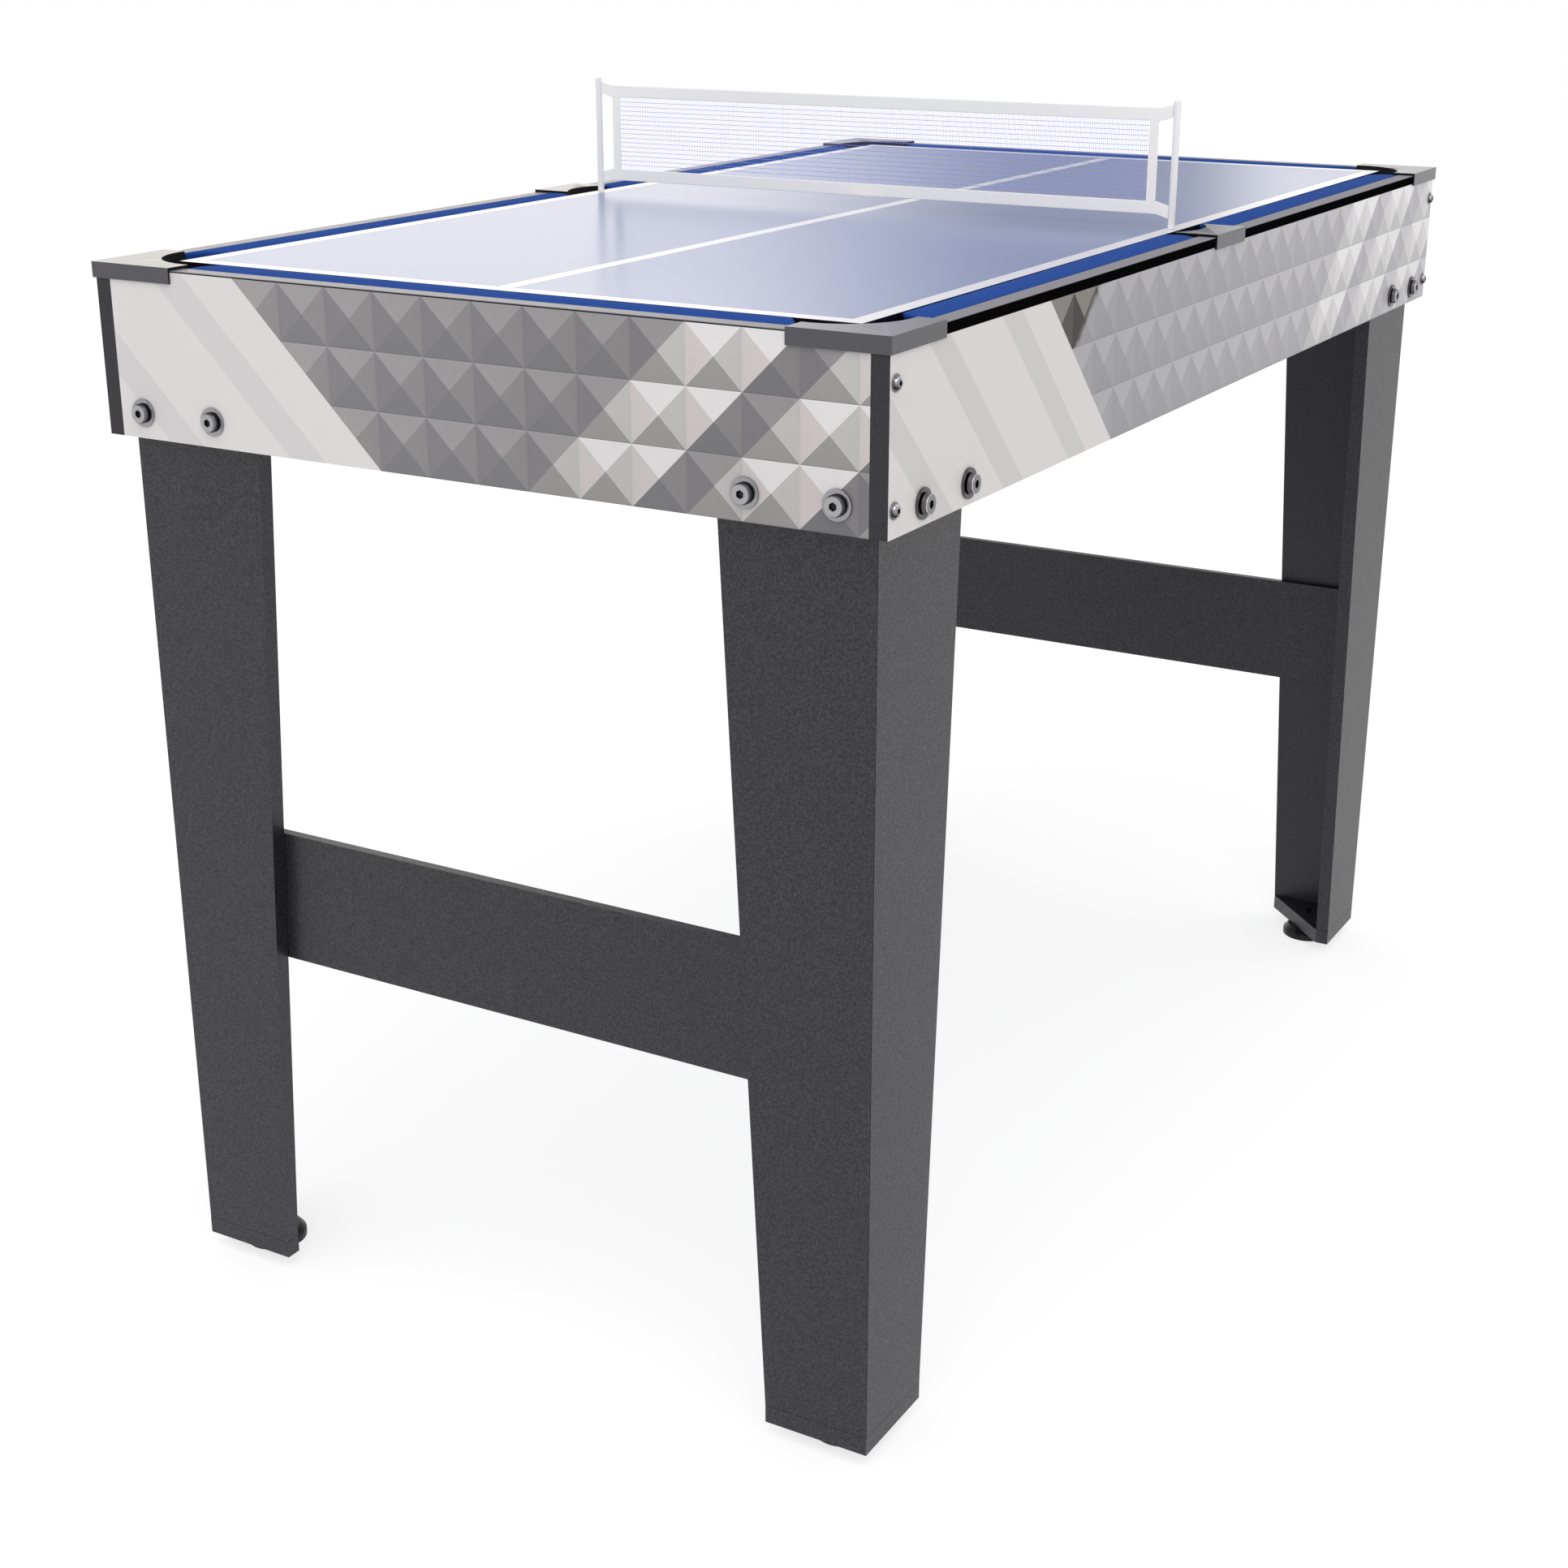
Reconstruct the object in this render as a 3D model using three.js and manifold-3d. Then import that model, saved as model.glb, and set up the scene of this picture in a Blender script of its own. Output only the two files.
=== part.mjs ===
// A free-standing multi game table: a pool table whose bed is covered by a lift-out table tennis top
// with a net. Millimetres, +Z up. X runs along the table, Y across it, and the floor is at Z = 0.
// Front is the long side at -Y and left is the end at -X.

import * as THREE from 'three';
import { mergeVertices } from 'three/addons/utils/BufferGeometryUtils.js';
import Module from 'manifold-3d';

const wasm = await Module();
wasm.setup();

// Size over the outer faces of the aprons, and the height of the pocket caps
const tableLength = 1220;
const tableWidth = 685;
const capTopHeight = 860.5;

// Gap left between pieces that touch, play round the lift-out top, and how far a cut runs past a face
const seam = 0.3;
const play = 0.5;
const overrun = 6;

// Board stock of the aprons, legs and bearer
const panel = 13.7;
const apronDepth = 133;

// Rail strips: the side ones stand on their apron, the end ones are rebated to lap over a taller apron
const railThickness = 8;
const railStrip = 15.5;
const railLap = 1;

// Cushions: width inwards from the rail strip, and the shapes of their section and jaws
const cushionWidth = 28.5;
const cushionCrown = 1.3;
const cushionNoseRadius = 2.5;
const cushionFootShare = 0.62;
const cornerJawSetback = 19;
const middleJaw = 38;
const jawRounding = 5;

// Table tennis top, the pool bed below it and the bearer that carries the bed
const tennisThickness = 18;
const bedThickness = 12;
const bearerHeight = 60;

// Pocket caps: a thin plate with a mouth bitten out of it and a skirt over the apron
const capPlate = 1.9;
const capOverhang = 1.9;
const capSkirt = 12.1;
const cornerCapArm = 78;
const middleCapLength = 66.8;
const middleCapDepth = 37.4;
const mouthRadius = 52;
const cornerMouthInset = 4.1;
const middleMouthInset = 8.6;

// Pocket cups under the caps
const cupRadius = 34;
const cupWall = 2;
const cupDepth = 42;

// Legs: two tapered panels mitred at the corner, standing on a foot plate
const legFootWidth = 88.3;
const legShoulderWidth = 124.3;
const legOverlap = 60;
const footPlateThickness = 15.1;

// Levelling feet, screwed up into the foot plates
const footHeight = 12;
const footRadius = 26.4;
const footRim = 6;
const footTopRadius = 21.2;
const footSettingShare = 0.447;
const stemRadius = 4;
const stemLength = 17.4;

// Stretchers between the legs at each end of the table
const stretcherBottom = 295.3;
const stretcherHeight = 111.1;
const stretcherThickness = 8;

// Leg bolts: head, spring washer and wide washer on a shank, placed as shares of the leg's top width
const shankRadius = 4;
const shankEnd = 3.5;
const washerRadius = 11;
const washerThickness = 1.6;
const springRadius = 7.8;
const springThickness = 2;
const headRadius = 7;
const headThickness = 2.9;
const socketRadius = 3.2;
const socketDepth = 2.4;
const endBoltShares = [0.186, 0.753];
const endBoltHeight = 20;
const sideBoltShares = [0.282, 0.836];
const sideBoltHeight = 15.5;

// Net and its posts, with heights taken from the playing surface
const postInset = 7.5;
const postRadius = 3;
const postHeight = 106;
const postCrown = 1.6;
const spigotRadius = 2.2;
const spigotLength = 9;
const netArm = 15.5;
const netBottom = 11.7;
const netTop = 98.7;
const netFlare = 3.1;
const netTape = 10.6;
const sideTape = 8.5;
const netStrand = 1;
const netThickness = 1.4;
const gapColumns = 30;
const gapRows = 8;

// Facets round each kind of shape
const mouthSteps = 36;
const cupSteps = 28;
const boltSteps = 10;
const holeSteps = 12;
const footSteps = 24;
const postSteps = 12;
const socketSides = 6;
const curveSteps = 4;

// Places worked out from the sizes above
const halfLength = tableLength / 2;
const halfWidth = tableWidth / 2;
const apronBottom = capTopHeight - apronDepth;
const capUnderside = capTopHeight - capPlate;
const railTop = capUnderside - seam;
const railBottom = railTop - railThickness;
const sideApronTop = railBottom - seam;
const endApronTop = railTop - railLap - seam;
const playSurface = railTop;
const tennisBottom = playSurface - tennisThickness;
const bedTop = tennisBottom - seam;
const bedBottom = bedTop - bedThickness;
const nose = railStrip + cushionWidth;
const cornerCapEnd = cornerCapArm - capOverhang;
const cushionStart = cornerCapEnd + seam;
const cupFloor = bedTop - cupDepth;
const rimTop = tennisBottom + cupWall;
const legOuter = panel + seam;
const legInner = legOuter + panel;
const legBottom = footHeight;
const legPanelBottom = legBottom + footPlateThickness + seam;
const legTop = apronBottom + legOverlap;
const footCentre = legOuter + legFootWidth * footSettingShare;
const postY = halfWidth - nose - play - postInset;
const diagonal = Math.SQRT1_2;
const rightAngle = Math.PI / 2;
const cornerMouth = railStrip + cornerMouthInset + mouthRadius;
const cornerCup = cornerMouth - (mouthRadius - cupRadius) * diagonal;
const middleMouth = railStrip + middleMouthInset + mouthRadius;
const middleCup = middleMouth - mouthRadius + cupRadius;

const finishes = {
  print: { color: 0xbdbcba, roughness: 0.38, metalness: 0 },
  laminate: { color: 0x4a4a4d, roughness: 0.62, metalness: 0 },
  railStrip: { color: 0x9d9a9b, roughness: 0.45, metalness: 0 },
  cloth: { color: 0x2f55a0, roughness: 0.9, metalness: 0 },
  capPlastic: { color: 0x77777b, roughness: 0.42, metalness: 0 },
  playTop: { color: 0x8f9cc8, roughness: 0.3, metalness: 0 },
  board: { color: 0x8a6f50, roughness: 0.8, metalness: 0 },
  steel: { color: 0x8e8e92, roughness: 0.3, metalness: 0.9 },
  blackPlastic: { color: 0x1a1a1c, roughness: 0.5, metalness: 0 },
  netCloth: { color: 0xdcdce2, roughness: 0.85, metalness: 0 },
  postPlastic: { color: 0xd4d4da, roughness: 0.4, metalness: 0 },
};

const table = new THREE.Group();

function addPiece(parent, name, geometry, finish) {
  const mesh = new THREE.Mesh(geometry, new THREE.MeshStandardMaterial(finishes[finish]));
  mesh.name = name;
  parent.add(mesh);
}

// A closed geometry as a solid that can be joined and cut
function solid(geometry) {
  const bare = geometry.clone();
  bare.deleteAttribute('normal');
  bare.deleteAttribute('uv');
  const merged = mergeVertices(bare);
  const vertProperties = merged.attributes.position.array;
  return new wasm.Manifold(new wasm.Mesh({ numProp: 3, vertProperties, triVerts: merged.index.array }));
}

function geometryOf(body) {
  const mesh = body.getMesh();
  const geometry = new THREE.BufferGeometry();
  geometry.setAttribute('position', new THREE.BufferAttribute(mesh.vertProperties, 3));
  geometry.setIndex(new THREE.BufferAttribute(mesh.triVerts, 1));
  geometry.computeVertexNormals();
  return geometry;
}

function cutAll(body, cutters) {
  return cutters.reduce((rest, cutter) => rest.subtract(cutter), body);
}

function joinAll(bodies) {
  return bodies.reduce((whole, body) => whole.add(body));
}

function box(x0, x1, y0, y1, z0, z1) {
  const geometry = new THREE.BoxGeometry(x1 - x0, y1 - y0, z1 - z0);
  return geometry.translate((x0 + x1) / 2, (y0 + y1) / 2, (z0 + z1) / 2);
}

function outline(points) {
  return new THREE.Shape(points.map(([x, y]) => new THREE.Vector2(x, y)));
}

// A plan outline raised from one height to another
function prism(shape, z0, z1) {
  const settings = { depth: z1 - z0, bevelEnabled: false, curveSegments: curveSteps };
  return new THREE.ExtrudeGeometry(shape, settings).translate(0, 0, z0);
}

// An outline with its X pointing along Y and its Y pointing up, run along X
function sectionBar(shape, x0, x1) {
  return prism(shape, x0, x1).rotateX(rightAngle).rotateZ(rightAngle);
}

// An outline seen from the front, with its X along X and its Y pointing up, run along Y
function frontBoard(shape, y0, y1) {
  return prism(shape, -y1, -y0).rotateX(rightAngle);
}

function upright(x, y, radius, z0, z1, steps) {
  const geometry = new THREE.CylinderGeometry(radius, radius, z1 - z0, steps);
  return geometry.rotateX(rightAngle).translate(x, y, (z0 + z1) / 2);
}

// A cylinder along Y, for the holes through an upright board
function crossHole(x, z, radius, y0, y1) {
  const geometry = new THREE.CylinderGeometry(radius, radius, y1 - y0, holeSteps);
  return geometry.translate(x, (y0 + y1) / 2, z);
}

// A turned piece with its axis along Z, from a profile of radius and height
function turned(profile, steps) {
  const points = profile.map(([radius, height]) => new THREE.Vector2(radius, height));
  return new THREE.LatheGeometry(points, steps).rotateX(rightAngle);
}

// Each side of the table has a frame turned so that the side lies along +X with its outer face at Y = 0.
// Its ends are named in the order of their local X.
const sides = {
  front: { turn: 0, reach: halfWidth, half: halfLength, isLong: true, ends: ['left', 'right'] },
  right: { turn: rightAngle, reach: halfLength, half: halfWidth, isLong: false, ends: ['front', 'back'] },
  back: { turn: Math.PI, reach: halfWidth, half: halfLength, isLong: true, ends: ['right', 'left'] },
  left: { turn: -rightAngle, reach: halfLength, half: halfWidth, isLong: false, ends: ['back', 'front'] },
};

// Each corner has a frame with its origin at the outer corner and both axes pointing into the table
const corners = {
  front_left: { x: -halfLength, y: -halfWidth, turn: 0, alongX: 'side', alongY: 'end' },
  front_right: { x: halfLength, y: -halfWidth, turn: rightAngle, alongX: 'end', alongY: 'side' },
  back_right: { x: halfLength, y: halfWidth, turn: Math.PI, alongX: 'side', alongY: 'end' },
  back_left: { x: -halfLength, y: halfWidth, turn: -rightAngle, alongX: 'end', alongY: 'side' },
};

function sideFrame(side) {
  const turner = new THREE.Group();
  turner.rotation.z = side.turn;
  const frame = new THREE.Group();
  frame.position.y = -side.reach;
  turner.add(frame);
  table.add(turner);
  return frame;
}

function cornerFrame(corner) {
  const frame = new THREE.Group();
  frame.position.set(corner.x, corner.y, 0);
  frame.rotation.z = corner.turn;
  table.add(frame);
  return frame;
}

// How far a leg's bolts stand from the corner, and how high, on a side or an end of the table
function boltPlaces(isLong) {
  const shares = isLong ? sideBoltShares : endBoltShares;
  const height = apronBottom + (isLong ? sideBoltHeight : endBoltHeight);
  return shares.map((share) => ({ inset: legOuter + legShoulderWidth * share, height }));
}

// Aprons: the side ones run the full length and the end ones stand between them, notched for the side rails
function apron(side) {
  const reach = side.isLong ? side.half : side.half - legOuter;
  const top = side.isLong ? sideApronTop : endApronTop;
  const board = solid(box(-reach, reach, 0, panel, apronBottom, top));
  const cutters = [];
  for (const hand of [-1, 1]) {
    for (const { inset, height } of boltPlaces(side.isLong)) {
      const x = hand * (side.half - inset);
      cutters.push(solid(crossHole(x, height, shankRadius + seam, -overrun, panel + overrun)));
    }
  }
  if (!side.isLong) {
    const kept = side.half - railStrip - seam;
    const past = side.half + overrun;
    for (const [x0, x1] of [[-past, -kept], [kept, past]]) {
      cutters.push(solid(box(x0, x1, -overrun, panel + overrun, railBottom - seam, railTop + overrun)));
    }
  }
  return geometryOf(cutAll(board, cutters));
}

// Rails: a strip on top of the side aprons, and an angle strip that laps over the end aprons
function rail(side) {
  if (side.isLong) {
    return box(-side.half, side.half, 0, railStrip, railBottom, railTop);
  }
  const reach = side.half - railStrip - seam;
  const angle = outline([
    [0, railTop - railLap], [0, railTop], [railStrip, railTop],
    [railStrip, railBottom], [legOuter, railBottom], [legOuter, railTop - railLap],
  ]);
  return sectionBar(angle, -reach, reach);
}

// A cushion's section: crowned top, rounded nose and an undercut face, drawn inwards and up
function cushionSection() {
  const height = railTop - tennisBottom;
  const noseCentre = cushionWidth - cushionNoseRadius;
  const section = new THREE.Shape();
  section.moveTo(seam, 0);
  section.lineTo(seam, height);
  section.quadraticCurveTo(cushionWidth / 2, height + cushionCrown * 2, noseCentre, height);
  section.absarc(noseCentre, height - cushionNoseRadius, cushionNoseRadius, rightAngle, -rightAngle / 4, true);
  section.lineTo(cushionWidth * cushionFootShare, 0);
  section.closePath();
  return section;
}

// A cushion from x0 to x1 at its back, whose ends step inwards by their setbacks at the nose
function cushion(x0, x1, setback0, setback1) {
  const bar = sectionBar(cushionSection(), x0, x1).translate(0, railStrip, tennisBottom);
  const back = railStrip;
  const front = nose + overrun;
  const rounded = nose - jawRounding;
  const roundShare = (cushionWidth - jawRounding) / cushionWidth;
  const plan = new THREE.Shape();
  plan.moveTo(x0, back);
  plan.lineTo(x0 + setback0 * roundShare, rounded);
  plan.quadraticCurveTo(x0 + setback0, nose, x0 + setback0 + jawRounding, nose);
  plan.lineTo(x0 + setback0 + jawRounding, front);
  plan.lineTo(x1 - setback1 - jawRounding, front);
  plan.lineTo(x1 - setback1 - jawRounding, nose);
  plan.quadraticCurveTo(x1 - setback1, nose, x1 - setback1 * roundShare, rounded);
  plan.lineTo(x1, back);
  plan.closePath();
  return geometryOf(solid(bar).intersect(solid(prism(plan, bedBottom, capTopHeight + overrun))));
}

// A pocket moulding's cup, hung from a shield wall that follows the mouth bitten out of the cap
function pocketBody(plate, skirts, shieldArea, mouth, cup) {
  const mouthCut = solid(upright(mouth.x, mouth.y, mouthRadius, cupFloor, capTopHeight + overrun, mouthSteps));
  const shieldOuter = mouthRadius + cupWall;
  const area = solid(prism(shieldArea, tennisBottom, capTopHeight));
  const shield = solid(upright(mouth.x, mouth.y, shieldOuter, tennisBottom, capTopHeight, mouthSteps));
  const ledge = solid(upright(mouth.x, mouth.y, shieldOuter, tennisBottom, rimTop, mouthSteps)).intersect(area);
  const cupOuter = solid(upright(cup.x, cup.y, cupRadius + cupWall, cupFloor, rimTop, cupSteps));
  const hollow = solid(upright(cup.x, cup.y, cupRadius, cupFloor + cupWall, capTopHeight + overrun, cupSteps));
  const cap = joinAll([solid(plate), ...skirts.map(solid), shield.intersect(area)]).subtract(mouthCut);
  const top = box(mouth.topX, mouth.topX + tableLength, nose, nose + tableLength, bedTop, capTopHeight + overrun);
  return joinAll([cap, ledge, cupOuter]).subtract(hollow).subtract(solid(top));
}

function cornerPocket() {
  const out = -capOverhang;
  const lip = -seam;
  const end = cornerCapEnd;
  const skirtBottom = capTopHeight - capSkirt;
  const plate = box(out, end, out, end, capUnderside, capTopHeight);
  const skirts = [
    box(out, end, out, lip, skirtBottom, capTopHeight),
    box(out, lip, out, end, skirtBottom, capTopHeight),
  ];
  const area = outline([[railStrip, railStrip], [end, railStrip], [end, end], [railStrip, end]]);
  const mouth = { x: cornerMouth, y: cornerMouth, topX: nose };
  const body = pocketBody(plate, skirts, area, mouth, { x: cornerCup, y: cornerCup });
  return geometryOf(body);
}

function middlePocket() {
  const half = middleCapLength / 2;
  const out = -capOverhang;
  const depth = middleCapDepth - capOverhang;
  const plate = box(-half, half, out, depth, capUnderside, capTopHeight);
  const skirts = [box(-half, half, out, -seam, capTopHeight - capSkirt, capTopHeight)];
  const area = outline([[-half, railStrip], [half, railStrip], [half, depth], [-half, depth]]);
  const mouth = { x: 0, y: middleMouth, topX: -halfLength };
  const body = pocketBody(plate, skirts, area, mouth, { x: 0, y: middleCup });
  return geometryOf(body);
}

// The pool bed has a round hole for each cup
function poolBed() {
  const x = halfLength - legOuter;
  const y = halfWidth - legOuter;
  const places = [];
  for (const hand of [-1, 1]) {
    places.push([0, hand * (halfWidth - middleCup)]);
    places.push([-halfLength + cornerCup, hand * (halfWidth - cornerCup)]);
    places.push([halfLength - cornerCup, hand * (halfWidth - cornerCup)]);
  }
  const radius = cupRadius + cupWall + seam;
  const holes = places.map(([holeX, holeY]) =>
    solid(upright(holeX, holeY, radius, bedBottom - overrun, bedTop + overrun, cupSteps)));
  return geometryOf(cutAll(solid(box(-x, x, -y, y, bedBottom, bedTop)), holes));
}

function bearer() {
  const reach = halfLength - legOuter;
  const top = bedBottom - seam;
  return box(-reach, reach, -panel / 2, panel / 2, top - bearerHeight, top);
}

function tennisTop() {
  const x = halfLength - nose - play;
  const y = halfWidth - nose - play;
  const holeBottom = playSurface - spigotLength - seam;
  const holes = [-1, 1].map((hand) =>
    solid(upright(0, hand * postY, spigotRadius + seam, holeBottom, playSurface + overrun, postSteps)));
  return geometryOf(cutAll(solid(box(-x, x, -y, y, tennisBottom, playSurface)), holes));
}

// A tapered leg panel, seen from outside, that starts at the leg's outer corner
function legPanelOutline() {
  return outline([
    [legOuter, legPanelBottom], [legOuter + legFootWidth, legPanelBottom],
    [legOuter + legShoulderWidth, apronBottom], [legOuter + legShoulderWidth, legTop], [legOuter, legTop],
  ]);
}

// Leg panels lie along either axis of their corner, and each gives way to the other at the mitre
function legPanel(isAlongX, places) {
  const board = isAlongX
    ? frontBoard(legPanelOutline(), legOuter, legInner)
    : sectionBar(legPanelOutline(), legOuter, legInner);
  const low = legOuter - overrun;
  const high = legInner + overrun;
  const gap = seam * diagonal;
  const mitre = isAlongX
    ? outline([[low, low - gap], [high, high - gap], [low, high]])
    : outline([[low - gap, low], [high, low], [high - gap, high]]);
  const cutters = [solid(prism(mitre, legBottom, legTop + overrun))];
  for (const { inset, height } of places) {
    const hole = crossHole(inset, height, shankRadius + seam, legOuter - overrun, legInner + overrun);
    if (!isAlongX) {
      hole.rotateZ(rightAngle).translate(legOuter + legInner, 0, 0);
    }
    cutters.push(solid(hole));
  }
  return geometryOf(cutAll(solid(board), cutters));
}

// A foot plate fills the leg's corner and is drilled for the stem of its foot
function footPlate() {
  const far = legOuter + legFootWidth;
  const plan = outline([[legOuter, legOuter], [far, legOuter], [far, legInner], [legInner, far], [legOuter, far]]);
  const plate = solid(prism(plan, legBottom, legBottom + footPlateThickness));
  const hole = upright(footCentre, footCentre, stemRadius + seam, 0, legPanelBottom + overrun, postSteps);
  return geometryOf(plate.subtract(solid(hole)));
}

function levellingFoot() {
  const top = footHeight - seam;
  const foot = turned([
    [0, 0], [footRadius, 0], [footRadius, footRim], [footTopRadius, top],
    [stemRadius, top], [stemRadius, top + stemLength], [0, top + stemLength],
  ], footSteps);
  return foot.translate(footCentre, footCentre, 0);
}

function stretcher() {
  const reach = halfWidth - legInner - seam;
  return box(-reach, reach, legInner + seam, legInner + seam + stretcherThickness, stretcherBottom,
    stretcherBottom + stretcherHeight);
}

// A bolt whose washer lies on a board face at Z = 0, with its head up and its shank down
function legBolt() {
  const shankLength = legInner + shankEnd;
  const springTop = seam + washerThickness + springThickness;
  const headTop = springTop + headThickness;
  const body = solid(turned([
    [0, -shankLength], [shankRadius, -shankLength], [shankRadius, seam],
    [washerRadius, seam], [washerRadius, seam + washerThickness], [springRadius, seam + washerThickness],
    [springRadius, springTop], [headRadius, springTop], [headRadius, headTop], [0, headTop],
  ], boltSteps));
  const socket = upright(0, 0, socketRadius, headTop - socketDepth, headTop + overrun, socketSides);
  return geometryOf(body.subtract(solid(socket)));
}

function netPost() {
  return turned([
    [0, playSurface - spigotLength], [spigotRadius, playSurface - spigotLength],
    [spigotRadius, playSurface + seam], [postRadius, playSurface + seam],
    [postRadius, playSurface + postHeight - postCrown],
    [postRadius - postCrown, playSurface + postHeight], [0, playSurface + postHeight],
  ], postSteps);
}

// The net is one flat piece: tapes round a mesh window, with arms that flare out to the posts
function net() {
  const end = postY - netArm;
  const post = postY - postRadius - seam;
  const bend = end - sideTape / 2;
  const shape = new THREE.Shape();
  shape.moveTo(-bend, netBottom);
  shape.lineTo(bend, netBottom);
  shape.quadraticCurveTo(end, netBottom, post, netBottom - netFlare);
  shape.lineTo(post, netBottom - netFlare + netTape);
  shape.lineTo(end, netBottom + netTape);
  shape.lineTo(end, netTop - netTape);
  shape.lineTo(post, netTop - netTape + netFlare);
  shape.lineTo(post, netTop + netFlare);
  shape.quadraticCurveTo(end, netTop, bend, netTop);
  shape.lineTo(-bend, netTop);
  shape.quadraticCurveTo(-end, netTop, -post, netTop + netFlare);
  shape.lineTo(-post, netTop - netTape + netFlare);
  shape.lineTo(-end, netTop - netTape);
  shape.lineTo(-end, netBottom + netTape);
  shape.lineTo(-post, netBottom - netFlare + netTape);
  shape.lineTo(-post, netBottom - netFlare);
  shape.quadraticCurveTo(-end, netBottom, -bend, netBottom);
  const windowY = end - sideTape;
  const windowBottom = netBottom + netTape;
  const windowTop = netTop - netTape;
  const reach = netThickness + overrun;
  const window = solid(box(-reach, reach, -windowY, windowY, windowBottom, windowTop));
  const tapes = solid(sectionBar(shape, -netThickness / 2, netThickness / 2)).subtract(window);
  const half = netStrand / 2;
  const strands = [];
  for (let column = 1; column < gapColumns; column += 1) {
    const y = -windowY + 2 * windowY * column / gapColumns;
    strands.push(box(-half, half, y - half, y + half, windowBottom - half, windowTop + half));
  }
  for (let row = 1; row < gapRows; row += 1) {
    const z = windowBottom + (windowTop - windowBottom) * row / gapRows;
    strands.push(box(-half, half, -windowY - half, windowY + half, z - half, z + half));
  }
  return geometryOf(joinAll([tapes, ...strands.map(solid)])).translate(0, 0, playSurface);
}

for (const [sideName, side] of Object.entries(sides)) {
  const frame = sideFrame(side);
  const kind = side.isLong ? 'side' : 'end';
  addPiece(frame, `${kind}_apron_${sideName}`, apron(side), 'print');
  addPiece(frame, `${kind}_rail_${sideName}`, rail(side), 'railStrip');
  const far = side.half - cushionStart;
  if (side.isLong) {
    const [first, second] = side.ends;
    addPiece(frame, `cushion_${sideName}_${first}`, cushion(-far, -middleJaw, cornerJawSetback, 0), 'cloth');
    addPiece(frame, `cushion_${sideName}_${second}`, cushion(middleJaw, far, 0, cornerJawSetback), 'cloth');
    addPiece(frame, `middle_pocket_${sideName}`, middlePocket(), 'capPlastic');
  } else {
    addPiece(frame, `cushion_${sideName}`, cushion(-far, far, cornerJawSetback, cornerJawSetback), 'cloth');
    addPiece(frame, `leg_stretcher_${sideName}`, stretcher(), 'laminate');
  }
  side.ends.forEach((endName, index) => {
    const hand = index === 0 ? -1 : 1;
    boltPlaces(side.isLong).forEach(({ inset, height }, order) => {
      const bolt = legBolt().rotateX(rightAngle).translate(hand * (side.half - inset), 0, height);
      addPiece(frame, `bolt_${sideName}_${endName}_${order === 0 ? 'outer' : 'inner'}`, bolt, 'steel');
    });
  });
}

for (const [cornerName, corner] of Object.entries(corners)) {
  const frame = cornerFrame(corner);
  const placesAlongX = boltPlaces(corner.alongX === 'side');
  const placesAlongY = boltPlaces(corner.alongY === 'side');
  addPiece(frame, `corner_pocket_${cornerName}`, cornerPocket(), 'capPlastic');
  addPiece(frame, `leg_${cornerName}_${corner.alongX}_panel`, legPanel(true, placesAlongX), 'laminate');
  addPiece(frame, `leg_${cornerName}_${corner.alongY}_panel`, legPanel(false, placesAlongY), 'laminate');
  addPiece(frame, `foot_plate_${cornerName}`, footPlate(), 'laminate');
  addPiece(frame, `levelling_foot_${cornerName}`, levellingFoot(), 'blackPlastic');
}

addPiece(table, 'pool_bed', poolBed(), 'cloth');
addPiece(table, 'bed_bearer', bearer(), 'board');
addPiece(table, 'tennis_top', tennisTop(), 'playTop');
addPiece(table, 'net', net(), 'netCloth');
addPiece(table, 'net_post_front', netPost().translate(0, -postY, 0), 'postPlastic');
addPiece(table, 'net_post_back', netPost().translate(0, postY, 0), 'postPlastic');

export default table;
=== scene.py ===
"""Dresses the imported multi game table: its printed aprons, speckled legs, cloth cushions, net and fittings.

Metres, +Z up, in the frame's own axes. Front is the long side at -Y and left is the end at -X.
"""

import math
from functools import partialmethod

import bmesh
import bpy
from bpy.props import FloatProperty, FloatVectorProperty, IntProperty, PointerProperty
from mathutils import Matrix, Vector


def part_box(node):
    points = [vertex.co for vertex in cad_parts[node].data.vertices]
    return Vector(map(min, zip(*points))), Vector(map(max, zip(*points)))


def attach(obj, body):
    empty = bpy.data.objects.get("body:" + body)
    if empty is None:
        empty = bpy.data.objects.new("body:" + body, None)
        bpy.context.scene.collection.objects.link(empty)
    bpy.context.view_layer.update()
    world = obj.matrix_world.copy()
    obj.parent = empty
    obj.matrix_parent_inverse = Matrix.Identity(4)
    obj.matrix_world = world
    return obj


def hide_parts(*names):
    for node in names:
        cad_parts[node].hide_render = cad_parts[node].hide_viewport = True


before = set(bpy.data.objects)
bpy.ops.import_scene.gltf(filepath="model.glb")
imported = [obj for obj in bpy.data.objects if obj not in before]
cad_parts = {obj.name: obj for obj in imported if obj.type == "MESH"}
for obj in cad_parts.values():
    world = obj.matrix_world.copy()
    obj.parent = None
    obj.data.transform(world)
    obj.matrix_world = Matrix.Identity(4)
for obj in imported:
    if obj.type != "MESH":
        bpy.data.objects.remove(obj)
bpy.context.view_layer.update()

bl_info = {
    "name": "Multi Game Table",
    "version": (1, 0, 0),
    "blender": (4, 5, 0),
    "location": "3D View > Sidebar > Games Table",
    "description": "Finishes and fine pieces for a games table that is built on its CAD frame",
    "category": "Object",
}

# Outer faces and levels of the table, read from the frame
SIDE_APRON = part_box("side_apron_front")
HALF_LENGTH = SIDE_APRON[1].x
HALF_WIDTH = -SIDE_APRON[0].y
APRON_BOTTOM = SIDE_APRON[0].z
PANEL = SIDE_APRON[1].y - SIDE_APRON[0].y
RAIL_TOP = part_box("side_rail_front")[1].z
CAP_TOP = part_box("corner_pocket_front_left")[1].z
PLAY_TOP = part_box("tennis_top")[1].z

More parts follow.
